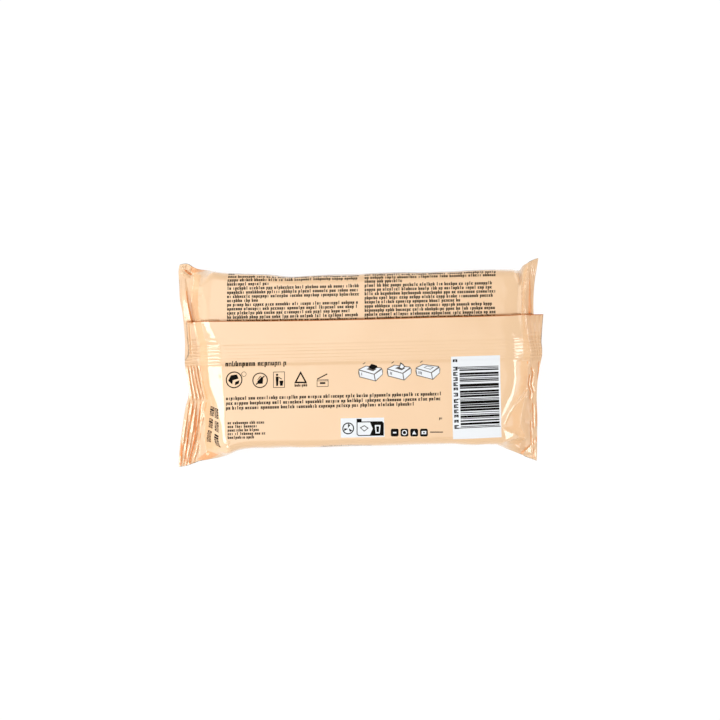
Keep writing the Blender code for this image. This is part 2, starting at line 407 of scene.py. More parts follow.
def crease(x, y, line, height, width):
    """A sharp-topped fold along a line of points, low enough to keep the film from crossing itself."""
    nearest = np.full(np.shape(x), 1e9)
    along = np.zeros(np.shape(x))
    lengths = [math.dist(one, other) for one, other in zip(line, line[1:])]
    done = 0.0
    for one, other, length in zip(line, line[1:], lengths):
        run_x = (other[0] - one[0]) / length
        run_y = (other[1] - one[1]) / length
        share = np.clip((x - one[0]) * run_x + (y - one[1]) * run_y, 0.0, length)
        away = np.hypot(x - one[0] - share * run_x, y - one[1] - share * run_y)
        closer = away < nearest
        nearest = np.where(closer, away, nearest)
        along = np.where(closer, done + share, along)
        done += length
    fading = np.sqrt(np.clip(np.sin(math.pi * along / done), 0.0, 1.0))
    return height * np.clip(1 - nearest / width, 0.0, 1.0) ** 2 * fading


# Folds that the photograph shows in the ends: a line of (column, row), height and reach in millimetres
FOLDS = (
    # left end, below the fin
    (((203, 366), (208, 384), (213, 404), (217, 424)), -0.45, 1.5),
    (((195, 366), (198, 384), (203, 400)), 0.35, 1.4),
    (((199, 420), (196, 440), (193, 452), (190, 463)), -0.9, 1.1),
    (((206, 400), (205, 412), (202, 424)), 0.5, 1.5),
    (((231, 441), (222, 447), (213, 452)), 0.5, 1.2),
    # left end, above the fin
    (((191, 277), (193, 292), (196, 306), (200, 319)), 0.4, 1.7),
    (((186, 278), (188, 290), (188, 304)), -0.3, 1.3),
    (((203, 278), (204, 290), (209, 310)), 0.15, 2.6),
    (((184, 268.6), (187.5, 271.4), (192.5, 274.8)), -1.0, 1.0),
    (((190.4, 272.6), (191.6, 269.4), (193.6, 266.6)), -0.6, 0.9),
    (((186.6, 270.2), (186.0, 267.4), (187.4, 265.0)), -0.5, 0.9),
    (((181.6, 267.0), (184.0, 269.0), (187.0, 270.6)), 0.6, 1.0),
    (((182.0, 273.4), (186.0, 273.6), (189.6, 275.4)), 0.5, 0.9),
    (((189.5, 265.6), (198, 268.8), (206, 271.2)), 0.7, 1.5),
    (((192.5, 275), (199, 274.6), (206, 272)), -0.55, 1.1),
    (((181, 270), (184, 274), (190, 278)), 0.4, 1.3),
    (((189.4, 323), (190.6, 342), (192, 360)), -0.4, 0.6),
    # right end, below the fin
    (((527, 384), (522, 402), (519, 424), (516, 436)), 0.2, 2.6),
    (((506, 443), (516, 446), (528, 452)), 0.3, 1.6),
    # right end, above the fin
    (((524, 276), (525, 296), (525.4, 313)), -0.25, 1.1),
    (((528.6, 272), (529.4, 292), (530, 313)), -0.3, 1.3),
    (((516, 269), (523, 273), (529, 268)), -0.35, 1.4),
    (((508, 272), (516, 275), (526, 281)), 0.2, 1.6),
)


# Pleats of the seals. Each set is a row of valleys from the outside in, as (row, column) lines, then how
# far across a pleat its crest stands, the steepness of the side that faces out, the least share of it that
# the worn places keep, and the rows where the set starts, is whole and stops
PLEAT_SETS = (
    # the bunched low corner
    (
        (
            ((394, 188), (406, 186.4), (430, 182.6), (450, 180.0), (468, 178.4)),
            ((394, 191.5), (406, 189.6), (430, 186.2), (450, 183.4), (468, 181.0)),
            ((394, 195.5), (406, 193.4), (430, 189.8), (450, 186.6), (468, 183.8)),
            ((394, 199), (406, 197.0), (430, 194.4), (450, 190.2), (468, 186.2)),
            ((394, 203.5), (406, 201.4), (430, 198.6), (450, 195.4), (468, 189.4)),
            ((394, 208), (406, 206.8), (414, 204.6), (430, 201.6), (450, 198.4), (468, 192.6)),
        ),
        0.68, 0.71, 0.45, 399, 405, 500,
    ),
    # the seal between the corner and the fin
    (
        (
            ((360, 184.6), (380, 187.4), (400, 189.5)),
            ((360, 187.4), (380, 190.2), (400, 193.4)),
            ((360, 190.6), (380, 193.2), (400, 197.2)),
            ((360, 193.2), (380, 196.6), (400, 201.0)),
            ((360, 196.4), (380, 199.6), (400, 204.4)),
            ((360, 199.4), (380, 203.0), (400, 208.2)),
        ),
        0.74, 0.7, 0.9, 364, 370, 398,
    ),
    # the seal above the fin
    (
        (
            ((284, 181.5), (300, 182.4), (321, 184.6)),
            ((284, 186.4), (300, 188.0), (321, 192.8)),
        ),
        0.8, 0.7, 1.0, 286, 304, 321,
    ),
    # the seal of the right end, whose pleats face the other way
    (
        (
            ((358, 541.4), (375, 540.0), (388, 540.4), (400, 539.0), (430, 538.6), (458, 538.2)),
            ((358, 538.8), (375, 537.6), (388, 537.8), (400, 536.6), (430, 536.2), (458, 536.0)),
        ),
        0.6, 0.7, 0.4, 360, 364, 440,
    ),
    (
        (
            (
                (358, 531.6), (366, 533.2), (373, 535.0), (384, 533.4), (392, 535.8), (401, 534.8),
                (425, 535.4), (458, 536.0),
            ),
            (
                (358, 528.8), (366, 530.2), (373, 532.2), (384, 530.4), (392, 532.8), (401, 532.2),
                (425, 532.8), (458, 533.4),
            ),
            (
                (358, 526.2), (366, 527.2), (373, 529.2), (384, 527.8), (392, 530.0), (401, 529.4),
                (425, 530.4), (458, 531.0),
            ),
        ),
        0.6, 0.7, 0.4, 358, 362, 456,
    ),
    # the low corner of the right end
    (
        (
            ((442, 532.0), (452, 532.5)),
            ((442, 530.4), (446, 529.0), (452, 520.8)),
        ),
        0.75, 0.7, 1.0, 444, 446, 452,
    ),
)

# What is left of the pleats where the film still slopes down to the seal, and how wide that change is
INNER_PLEATS = 0.5
INNER_REACH = 2.5


def pleated(x, y):
    """Height of the saw-toothed pleats of the seals, stronger and weaker along each one."""
    total = np.zeros(np.shape(x))
    for number, (lines, crest, slope, least, start, full, stop) in enumerate(PLEAT_SETS):
        edges = []
        for line in lines:
            rows, columns = by_row(line, SEAL_HEIGHT)
            edges.append(np.interp(y, rows, photo_x(columns)))
        shown = smooth(photo_y(start), photo_y(full), y) * smooth(photo_y(stop + 3), photo_y(stop), y)
        for pleat, (left, right) in enumerate(zip(edges, edges[1:])):
            share = np.clip((x - left) / (right - left), 0.0, 1.0)
            tooth = np.minimum(share / crest, (1 - share) / (1 - crest))
            along = np.sin(y / 3.1 + 2.1 * pleat + number) + 0.7 * np.sin(y / 1.3 + 1.3 * pleat)
            patchy = mix(least, 1.0, smooth(-0.5, 0.1, along))
            total = total + slope * crest * np.abs(right - left) * tooth * patchy * shown
    foot = np.where(x < 0, foot_line(left_end, y), foot_line(right_end, y))
    return total * mix(INNER_PLEATS, 1.0, smooth(foot - INNER_REACH, foot, np.abs(x)))


def pleat_backs(x, y):
    """Whether points lie on the side of a pleat that looks in towards the pack."""
    slope = (pleated(x + 0.05, y) - pleated(x - 0.05, y)) / 0.1
    return np.where(x < 0, slope < -0.5, slope > 0.5)


SOFT_PLEATS = 15


def draw_pleats():
    """Short soft pleats that run out of each seal towards the panel, at places drawn once."""
    draw = np.random.RandomState(11)
    found = []
    for end in (left_end, right_end):
        for step in range(SOFT_PLEATS):
            y = mix(-46, 44, (step + draw.uniform(0.1, 0.9)) / SOFT_PLEATS)
            start = end["side"] * (end["foot"] + draw.uniform(-1, 3))
            stop = end["side"] * (end["foot"] - draw.uniform(3, 6))
            bend = draw.uniform(-3, 3)
            line = ((start, y), ((start + stop) / 2, y + bend / 2), (stop, y * 0.97 + bend))
            found.append((line, draw.choice((-1, 1)) * draw.uniform(0.12, 0.32), draw.uniform(1.0, 2.2)))
    return found


def fold_lines():
    found = []
    for line, height, width in FOLDS:
        columns = photo_x([point[0] for point in line])
        rows = photo_y([point[1] for point in line])
        found.append((list(zip(columns, rows)), height, width))
    return found


end_folds = fold_lines() + draw_pleats()


def end_relief(x, y):
    """Height of the folds that every ply of an end shares."""
    total = 0.08 * soft_noise(x, y, 10.0, 3) + 0.02 * soft_noise(x, y, 4.0, 4)
    for line, height, width in end_folds:
        total = total + crease(x, y, line, height, width)
    return total + pleated(x, y)


def panel_relief(x, y):
    """Very low hills where the film lies over the soft stack."""
    return 0.05 * soft_noise(x, y * 1.4, 34.0, 5) + 0.01 * soft_noise(x, y, 11.0, 6)


def side_relief(x, s, seed):
    """In and out of a side wall: slack film in soft slanted dents."""
    wide = 0.16 * soft_noise(x, s * 1.3, 30.0, seed)
    narrow = 0.1 * soft_noise(x * 0.8, s + 0.3 * x, 10.0, seed + 1)
    return wide + narrow


def seal_rise(u, y):
    """How far the seal's plane curls up or down from its plain height along each end."""
    left = 0.9 * np.sin((y + 12) / 17) + 1.6 * smooth(30, 50, y)
    right = 1.1 * np.sin((y - 4) / 15) + 2.2 * smooth(8, 40, y)
    return np.where(u < 0, left, right)


def fall_share(u):
    """How far down the slope a point lies, from 0 at the shoulder to 1 at the seal."""
    shoulder = by_end(u, "shoulder")
    return np.clip((np.abs(u) - shoulder) / (by_end(u, "foot") - shoulder), 0.0, 1.0)


def band_share(u):
    foot = by_end(u, "foot")
    return np.clip((np.abs(u) - foot) / (by_end(u, "cut") - foot), 0.0, 1.0)


def pulled_x(u, y, fin_distance=None):
    """The X of a line of the sheet, drawn in or out to follow the shoulder and the cut edge at each Y."""
    out = np.abs(u)
    shoulder = by_end(u, "shoulder")
    cut = by_end(u, "cut")
    rise = smooth(FLAT_HALF, shoulder, out)
    to_cut = np.clip((out - shoulder) / (cut - shoulder), 0.0, 1.0)
    cut_at = line_by_end(u, "cut_line", y)
    shoulder_drawn = line_by_end(u, "bend_line", y) - shoulder
    reach = out + rise * (1 - to_cut) * shoulder_drawn + to_cut * (cut_at - cut)
    if fin_distance is not None:
        own = smooth(2.0, 6.0, fin_distance)
        reach = reach + own * (line_by_end(u, "fin_cut", y) - cut_at) * smooth(0.0, 1.0, band_share(u))
    return np.where(u < 0, -1.0, 1.0) * reach


def fin_lift(x, g, fall, band):
    """Height of the fin's outer film over the panel, at a distance g up from its root."""
    stack = (FIN_POCKET * (1 - 0.8 * fall) + FIN_PLY) * smooth(-1.6, 0.9, g)
    ridges = 0.0
    for place, width in FIN_RIDGES:
        away = np.clip(np.abs(g - place) / (width / 2), 0.0, 1.0)
        ridges = np.maximum(ridges, 1 - away * away)
    ridges = ridges * FIN_RIDGE_HEIGHT * (0.19 + 0.81 * smooth(0.0, 0.12, fall)) * (1 - 0.3 * band)
    slack = FIN_EDGE_LIFT + 0.15 * np.sin(x / 19) + 0.1 * np.sin(x / 7.3 + 1) + 0.4 * smooth(58, 74, x)
    slack = slack * (1 - 0.5 * smooth(60, 72, -x))
    free = slack * (1 - 0.45 * fall) * np.clip(g / FIN_WIDTH, 0.0, 1.0) ** 4
    return stack + ridges + free


def fin_groove(x, g, fall):
    """The narrow groove that the fin's free edge presses into the film under it."""
    past_edge = g + fin_root(x) - fin_edge(x)
    return -GROOVE_DEPTH * np.exp(-((past_edge - 0.1) / 0.34) ** 2) * (1 - 0.5 * fall)


# The strips of the two long sides, as (zone, whether it is an arc, whether it is over the seal, whether
# its share runs towards its panel)
LOW_STRIPS = (
    ("low_arc", True, True, False),
    ("low_side", False, True, False),
    ("low_underside", False, False, True),
    ("low_bottom_arc", True, False, True),
)
HIGH_STRIPS = (
    ("high_bottom_arc", True, False, False),
    ("high_underside", False, False, False),
    ("high_side", False, True, True),
    ("high_arc", True, True, True),
)


def film_point(u, t):
    """Where a point of the flat film sheet lies on the wrapped pack, in millimetres."""
    u = np.asarray(u, float)
    t = np.asarray(t, float)
    fall = fall_share(u)
    band = band_share(u)
    fullness = 0.5 + 0.5 * np.cos(math.pi * fall)
    down = PLY / 2 + (FULL_DOWN - PLY / 2) * fullness
    bulge = SIDE_BULGE * fullness
    low = -low_edge(u) - bulge
    high = high_edge(u) - bulge
    root = fin_root(u)
    facet = smooth(0.0, 0.6, fall)
    facet_width = mix(mix(7.0, FACET_REACH, fall), EAR_RIM, band)
    top_inset = mix(TOP_ARC, facet_width, facet)
    bottom_inset = mix(BOTTOM_ARC, facet_width, facet)

    y = np.zeros(u.shape)
    level = np.zeros(u.shape)
    lift = np.zeros(u.shape)
    panel_weight = np.zeros(u.shape)
    side_push = np.zeros(u.shape)
    fin_distance = np.full(u.shape, -10.0)
    top = np.ones(u.shape)

    def zone(name):
        inside = (t >= ZONE_START[name] - 1e-9) & (t <= ZONE_START[name] + ZONE_WIDTH[name] + 1e-9)
        share = np.clip((t - ZONE_START[name]) / ZONE_WIDTH[name], 0.0, 1.0)
        return inside, share

    def put(inside, new_y, new_level, weight, push=0.0, is_top=1.0, rise=0.0):
        y[inside] = np.broadcast_to(new_y, u.shape)[inside]
        level[inside] = np.broadcast_to(new_level, u.shape)[inside]
        lift[inside] = np.broadcast_to(rise, u.shape)[inside]
        panel_weight[inside] = np.broadcast_to(weight, u.shape)[inside]
        side_push[inside] = np.broadcast_to(push, u.shape)[inside]
        top[inside] = is_top

    def long_side(on_arc, share, radius, wall):
        """How far out and how high a side stands: an arc and a wall, or one slanted facet at the ends.

        The share runs from the panel over the arc, or from the arc's foot down the wall.
        """
        arc_length = radius * math.pi / 2
        arc_part = arc_length / (arc_length + wall)
        if on_arc:
            angle = share * math.pi / 2
            body_out = radius * np.sin(angle)
            body_down = radius * (1 - np.cos(angle)) / (radius + wall)
            along = arc_part * share
        else:
            body_out = radius + bulge * (1 - (1 - share) ** 2)
            body_down = (radius + wall * share) / (radius + wall)
            along = arc_part + (1 - arc_part) * share
        swell = 0.08 * np.sin(math.pi * along)
        facet_out = (facet_width + bulge) * (along + swell)
        facet_down = along - swell
        return mix(body_out, facet_out, facet), 1 - mix(body_down, facet_down, facet)

    fin_reach = fin_edge(u) - FIN_STEP - root
    inside, share = zone("fin_outside")
    g = fin_reach * (1 - share)
    put(inside, root + g, 1.0, 1.0, rise=fin_lift(u, g, fall, band))
    fin_distance[inside] = g[inside]

    inside, share = zone("low_panel")
    panel_y = mix(root, -(low - top_inset), share)
    put(inside, panel_y, 1.0, 1.0, rise=fin_lift(u, panel_y - root, fall, band) * (panel_y - root > -2))

    def put_strips(strips, sign, edge):
        for name, on_arc, over, inward in strips:
            inside, share = zone(name)
            share = 1 - share if inward else share
            radius = TOP_ARC if over else BOTTOM_ARC
            full = FULL_UP if over else FULL_DOWN
            inset = top_inset if over else bottom_inset
            out, left = long_side(on_arc, share, radius, full - radius)
            weight = 1 - share if on_arc else 0.0
            push = sign * share if on_arc else sign
            put(inside, sign * (edge - inset + out), left, weight, push, float(over))

    put_strips(LOW_STRIPS, -1.0, low)
    inside, share = zone("front")
    put(inside, mix(-(low - bottom_inset), high - bottom_inset, share), 1.0, 1.0, 0.0, 0.0)
    put_strips(HIGH_STRIPS, 1.0, high)

    inside, share = zone("high_panel")
    panel_y = mix(high - top_inset, root + POCKET_END, share)
    put(inside, panel_y, 1.0, 1.0, rise=fin_groove(u, panel_y - root, fall))

    inside, share = zone("fin_inside")
    g = mix(POCKET_END, fin_reach + FIN_STEP, share)
    closing = smooth(POCKET_END, POCKET_END + 1.2, g)
    put(inside, root + g, 1.0, 1.0, rise=(fin_lift(u, g, fall, band) - FIN_PLY) * closing)
    fin_distance[inside] = g[inside]

    # The ends of the front panel turn up more gently than the back's, and the stack crowns the back panel.
    x = pulled_x(u, y, fin_distance)
    outside_ply = (t <= FIN_WIDTH) * smooth(2.0, 6.0, fin_distance)
    x = x - np.sign(u) * FIN_TRIM * outside_ply * smooth(0.4, 1.0, band)
    reach = np.where(y > 0, high, low) - top_inset
    full_top = np.where(u < 0, slope_level(left_end, x, y), slope_level(right_end, x, y))
    up = PLY / 2 + (FULL_UP - PLY / 2) * full_top
    z = np.where(top > 0.5, level * up, -level * down) + lift
    crown = PANEL_CROWN * full_top * np.clip(1 - (y / np.maximum(reach, 1.0)) ** 2, 0.0, 1.0)
    is_top = top > 0.5
    plies_meet = smooth(0.55, 0.95, fall)
    shoulder_zone = smooth(0.0, 0.25, (np.abs(u) - by_end(u, "shoulder") + 6) / 20)
    shared = end_relief(x, y) * np.where(is_top, shoulder_zone, plies_meet)
    hills = panel_relief(x, y) * np.where(is_top, 1 - plies_meet, 0.0)
    z = z + np.where(is_top, crown, 0.0) + (shared + hills) * np.maximum(panel_weight, plies_meet)
    upper = mix(LOW_CRIMP, 1.0, smooth(photo_y(CRIMP_FADED), photo_y(CRIMP_WHOLE), y))
    pressed = np.where(u < 0, 0.1 * upper, (0.8 + 0.5 * soft_noise(x, y, 8.0, 9)) * upper)
    crimp = CRIMP_HEIGHT * np.sin(2 * math.pi * (np.abs(u) - by_end(u, "cut")) / CRIMP_PITCH)
    z = z + crimp * np.clip(pressed, 0.0, 1.2) * smooth(0.0, 0.15, band)
    z = z + seal_rise(u, y) * smooth(0.3, 1.0, fall)
    push = side_relief(x, z, 21) * (1 - smooth(0.2, 0.8, fall))
    y = y + side_push * (push - 0.25) * (1 - smooth(0.85, 1.0, fall))
    return np.stack([x, y, z + SEAL_HEIGHT], axis=-1)


def lines_between(stops):
    """Grid lines from (place, spacing) pairs, each stretch in equal steps no wider than its spacing."""
    found = [stops[0][0]]
    for (start, spacing), (stop, following) in zip(stops, stops[1:]):
        count = max(1, math.ceil((stop - start) / spacing - 1e-6))
        found += [start + (stop - start) * step / count for step in range(1, count + 1)]
    return np.array(found)


BAND_SPACING = 0.24
END_SPACING = 0.36
BODY_SPACING = 1.3
LOWER_PRINT = (-81.0, 80.5)
UPPER_PRINT = (-67.0, 69.0)
PRINT_ON_FIN = 2.9
PRINT_DOWN_SIDE = 8.5
UPPER_PRINT_REACH = 25.0
GROOVE_BAND = (14.2, 17.6)


def sheet_lines():
    """The lines of the grid along the pack and round its section."""
    along = lines_between((
        (-left_end["cut"], BAND_SPACING),
        (-left_end["foot"], END_SPACING),
        (LOWER_PRINT[0], END_SPACING),
        (UPPER_PRINT[0], END_SPACING),
        (-64.0, BODY_SPACING),
        (64.0, END_SPACING),
        (UPPER_PRINT[1], END_SPACING),
        (LOWER_PRINT[1], END_SPACING),
        (right_end["foot"], BAND_SPACING),
        (right_end["cut"], 0.0),
    ))
    start = ZONE_START
    stops = [
        (0.0, 0.3),
        (1.2, 1.0),
        (FIN_WIDTH - FIN_RIDGES[-1][0] - 1.4, 0.3),
        (FIN_WIDTH - PRINT_ON_FIN, 0.3),
        (start["low_panel"], 0.66),
        (start["low_arc"], 0.6),
        (start["low_side"], 1.0),
        (start["low_side"] + PRINT_DOWN_SIDE, 1.0),
        (start["low_underside"], 1.1),
        (start["low_bottom_arc"], 0.9),
        (start["front"], 2.1),
        (start["high_bottom_arc"], 0.9),
        (start["high_underside"], 1.1),
        (start["high_side"], 1.0),
        (start["high_arc"] - PRINT_DOWN_SIDE, 1.0),
        (start["high_arc"], 0.6),
        (start["high_panel"], 0.66),
        (start["high_panel"] + GROOVE_BAND[0], 0.32),
        (start["high_panel"] + GROOVE_BAND[1], 0.66),
        (start["high_panel"] + 19.0, 1.8),
        (start["fin_inside"], 1.8),
        (sheet_width - 1.2, 0.4),
        (sheet_width, 0.0),
    ]
    return along, lines_between(stops)


# Shades of the print and of the film, as slots of the film's mesh. The last three are deeper oranges: painted
# shade at the fin's free edge and along tight folds, and doubled film that is partly painted shade.
FILM = 0
INK = 1
WHITE = 2
GREY = 3
CUT_EDGE = 4
FREE_EDGE_SHADE = 5
DOUBLED_AND_SHADED = 6
PAINTED_FOLD_SHADE = 7


def u_at(x, y):
    """The sheet's line that lands on X at that Y."""
    u = np.array(x, float)
    for step in range(12):
        u = u - (pulled_x(u, y) - x)
    return u


def lower_place(x, g):
    """The sheet's coordinates at X and a distance g below the fin's root, measured along the film."""
    u = u_at(x, fin_root(x) - np.minimum(g, LOW_HALF - TOP_ARC))
    panel = -low_edge(u) - SIDE_BULGE - TOP_ARC + fin_root(u)
    on_panel = ZONE_START["low_panel"] + g / panel * ZONE_WIDTH["low_panel"]
    on_fin = FIN_WIDTH + g
    past = ZONE_START["low_arc"] + g - panel
    return u, np.where(g < 0, on_fin, np.where(g < panel, on_panel, past))


def upper_place(x, g):
    """The sheet's coordinates at X and a distance g above the fin's root, measured along the film."""
    u = u_at(x, fin_root(x) + np.minimum(g, HIGH_HALF - TOP_ARC))
    panel = high_edge(u) - SIDE_BULGE - TOP_ARC - fin_root(u) - POCKET_END
    past_pocket = g - POCKET_END
    on_panel = ZONE_START["fin_inside"] - past_pocket / panel * ZONE_WIDTH["high_panel"]
    past = ZONE_START["high_panel"] - (past_pocket - panel)
    return u, np.where(past_pocket < panel, on_panel, past)


def on_lower(points):
    """Photograph points on the low half of the back, as X and the distance below the fin's root."""
    columns, rows = np.array(points, float).T
    x = photo_x(columns, PANEL_HEIGHT + 0.5)
    y = photo_y(rows, PANEL_HEIGHT + 0.5)
    return list(zip(x, fin_root(x) - y))


def box_points(left, low, right, high):
    return [(left, low), (right, low), (right, high), (left, high)]


def ring_points(centre, radius, count=28):
    turns = [2 * math.pi * step / count for step in range(count)]
    return [(centre[0] + radius * math.cos(turn), centre[1] + radius * math.sin(turn)) for turn in turns]


LETTER_PITCH = 0.53


def letter_shape(kind, left, base, size, stroke, draw):
    """One plain mark of small print: a post, a bridge, a cup or a hook, which stands for no letter."""
    body = 0.58 * size
    right = left + (LETTER_PITCH - 0.09) * size
    stroke = min(stroke * draw.uniform(0.85, 1.35), 0.47 * (right - left))
    bar = min(0.8 * stroke, 0.3 * body)
    high = base - body
    if kind == 0:
        middle = (left + right) / 2
        top = high - draw.choice((0.0, 0.45)) * body
        return box_points(middle - stroke / 2, top, middle + stroke / 2, base)
    if kind in (1, 2):
        foot = base + (0.4 * body if kind == 2 else 0.0)
        return [
            (left, foot), (left, high), (right, high), (right, base),
            (right - stroke, base), (right - stroke, high + bar), (left + stroke, high + bar),
            (left + stroke, foot),
        ]
    if kind in (3, 4):
        top = high - (0.45 * body if kind == 4 else 0.0)
        return [
            (left, top), (left, base), (right, base), (right, high),
            (right - stroke, high), (right - stroke, base - bar), (left + stroke, base - bar),
            (left + stroke, top),
        ]
    middle = base - body / 2
    return [
        (right, high), (left, high), (left, base), (right, base), (right, base - bar),
        (left + stroke, base - bar),
        (left + stroke, middle + bar / 2), (right - stroke / 2, middle + bar / 2),
        (right - stroke / 2, middle - bar / 2),
        (left + stroke, middle - bar / 2), (left + stroke, high + bar), (right, high + bar),
    ]


def word_strokes(left, base, letters, size, stroke, draw):
    """A word as a run of plain marks, which read as small print and spell nothing."""
    found = []
    for letter in range(letters):
        kind = draw.randint(0, 6)
        found.append(letter_shape(kind, left + letter * LETTER_PITCH * size, base, size, stroke, draw))
    return found


THIN = 0.175
PLAIN = 0.22
HEAVY = 0.26


def text_row(left, right, base, size, draw, heavy_words=(), weight=PLAIN):
    """One line of small print between two places on the film."""
    found = []
    x = left
    word = 0
    pitch = LETTER_PITCH * size
    while x < right - 1.5 * pitch:
        letters = min(draw.randint(2, 10), int((right - x) / pitch))
        stroke = (HEAVY if word in heavy_words else weight) * size
        found += word_strokes(x, base, letters, size, stroke, draw)
        x += (letters + 0.62) * pitch
        word += 1
    return found


# The upper block of small print: rows in two columns, as distances up the film from the fin's root
TEXT_SIZE = 2.02
ROW_PITCH = 2.02
FIRST_ROW = 18.4
ROW_COUNT = 17
LEFT_COLUMN = (-65.3, -0.6)
RIGHT_COLUMN = (1.9, 66.4)
LEFT_SHORT_ROWS = {3: 0.93, 6: 0.27, 10: 0.32, 13: 0.05}
RIGHT_SHORT_ROWS = {5: 0.73, 10: 0.31, 13: 0.6}
LEFT_HEAVY = {5: (4, 5), 7: (0, 1), 8: (5, 6, 9, 10), 9: (0,), 11: (3, 4, 7, 8), 4: (10,), 12: (2,)}
RIGHT_HEAVY = {5: (0, 1, 2), 6: (6, 7), 9: (0,), 11: (4, 5, 8, 9), 4: (0,), 12: (3,)}


def upper_print():
    draw = np.random.RandomState(41)
    found = []
    for row in range(ROW_COUNT):
        base = FIRST_ROW + row * ROW_PITCH
        for column, short, heavy in (
            (LEFT_COLUMN, LEFT_SHORT_ROWS, LEFT_HEAVY),
            (RIGHT_COLUMN, RIGHT_SHORT_ROWS, RIGHT_HEAVY),
        ):
            right = mix(column[0], column[1], short.get(row, 1.0))
            strokes = text_row(column[0], right, 0.0, TEXT_SIZE, draw, heavy.get(row, ()))
            for points in strokes:
                found.append(([(x, base - g) for x, g in points], INK))
    return found


def placed(points, anchor):
    """Millimetre shapes moved so that their zero lies on an anchor of the film."""
    return [(anchor[0] + x, anchor[1] + g) for x, g in points]


def row_on_lower(left, right, row, size, draw, heavy_words=(), weight=PLAIN):
    """A line of small print whose left end and middle height are given by the photograph."""
    start, stop = on_lower([(left, row), (right, row)])
    base = start[1] + 0.25 * size
    strokes = text_row(start[0], stop[0], base, size, draw, heavy_words, weight)
    return [(points, INK) for points in strokes]


def ring_mark(column, row, radius, rim):
    """A dark ring with the film showing inside it."""
    centre = on_lower([(column, row)])[0]
    reach = radius * MM_PER_PIXEL
    return centre, [
        (ring_points(centre, reach), INK),
        (ring_points(centre, reach - rim), FILM),
    ]


# The symbols under the heading. Rings are (column, row, radius in pixels, rim in millimetres), boxes and
# corners are (column, row), and the shapes in them are in millimetres from a ring's middle or a box's
# left top corner.
FIRST_RING = (234.1, 379.8, 8.3, 0.55)
BENT_BLOCK = ((-2.9, 0.4), (-1.6, -2.2), (1.4, -2.6), (2.2, -0.6), (-0.6, 0.2), (-0.9, 2.2))
SMALL_BLOCK = ((0.4, 2.7), (0.5, 1.1), (2.6, 0.2), (2.3, 1.9))
SMALL_RING = (243.9, 374.1, 2.5, 0.22)
SECOND_RING = (260.1, 380.3, 7.7, 0.5)
LEANING_BLOCK = ((-1.3, 1.7), (-1.3, -0.4), (0.2, -2.2), (1.5, -1.2), (1.3, 1.7))
SLASH = ((-2.2, 1.9), (1.9, -2.3), (2.3, -1.9), (-1.8, 2.3))
SLASH_GAP = ((-2.7, 1.35), (1.35, -2.8), (1.6, -2.55), (-2.45, 1.6))
FRAME_BOX = ((273.2, 371.8), (284.8, 387.6))
FRAME_LINE = 0.28
FRAME_BIN = ((3.0, 4.4), (5.0, 4.4), (4.6, 6.9), (3.4, 6.9))
FRAME_DOT = (1.9, 1.5)
FRAME_DOT_RADIUS = 0.55
FRAME_POST = ((1.2, 2.4), (2.7, 2.4), (2.4, 6.9), (1.5, 6.9))
FRAME_ARM = ((2.9, 2.6), (4.3, 3.5), (4.1, 3.8), (2.8, 3.1))
TRIANGLE = ((300.6, 371.0), (307.2, 383.2), (294.2, 383.2))
TRIANGLE_INSIDE = 0.62
TRIANGLE_CAPTION = (294.6, 307.6, 385.8, 1.7)
JAR_BOX = ((316.8, 379.6), (328.4, 386.6))
JAR_LINE = 0.25
JAR_RIM = 0.55
JAR_NECK = 0.8
JAR_BAR = (1.5, 1.3, 2.2)
JAR_LID = ((0.1, -0.5), (5.0, -2.9), (5.2, -2.4), (0.3, 0.0))


def symbols():
    """Plain round, square and three-cornered marks in a row under the heading."""
    centre, found = ring_mark(*FIRST_RING)
    found.append((placed(BENT_BLOCK, centre), INK))
    found.append((placed(SMALL_BLOCK, centre), INK))
    found += ring_mark(*SMALL_RING)[1]
    centre, ring = ring_mark(*SECOND_RING)
    found += ring
    found.append((placed(LEANING_BLOCK, centre), INK))
    found.append((placed(SLASH, centre), INK))
    found.append((placed(SLASH_GAP, centre), FILM))

    (left, top), (right, bottom) = on_lower(FRAME_BOX)
    inner = box_points(left + FRAME_LINE, top + FRAME_LINE, right - FRAME_LINE, bottom - FRAME_LINE)
    dot = (left + FRAME_DOT[0], top + FRAME_DOT[1])
    found.append((box_points(left, top, right, bottom), INK))
    found.append((inner, FILM))
    found.append((placed(FRAME_BIN, (left, top)), INK))
    found.append((ring_points(dot, FRAME_DOT_RADIUS, 14), INK))
    found.append((placed(FRAME_POST, (left, top)), INK))
    found.append((placed(FRAME_ARM, (left, top)), INK))

    corners = on_lower(TRIANGLE)
    middle = np.mean(corners, axis=0)
    inner = [tuple(middle + (np.array(corner) - middle) * TRIANGLE_INSIDE) for corner in corners]
    found.append((corners, INK))
    found.append((inner, FILM))
    draw = np.random.RandomState(7)
    found += row_on_lower(*TRIANGLE_CAPTION, draw, (0, 1))

    (left, top), (right, bottom) = on_lower(JAR_BOX)
    inner_left, inner_right = left + JAR_LINE, right - JAR_LINE
    bar_in, bar_top, bar_bottom = JAR_BAR
    found.append((box_points(left, top, right, bottom), INK))
    found.append((box_points(inner_left, top + JAR_NECK, inner_right, bottom - JAR_LINE), FILM))
    found.append((box_points(inner_left, top + JAR_LINE, inner_right, top + JAR_RIM), FILM))
    found.append((box_points(left + bar_in, top + bar_top, right - bar_in, top + bar_bottom), INK))
    found.append((placed(JAR_LID, (left, top)), INK))
    return found


def from_corner(column, row, points):
    """A shape given in pixels from a corner that is a column and a row of the photograph."""
    return on_lower([(column + x, row + y) for x, y in points])


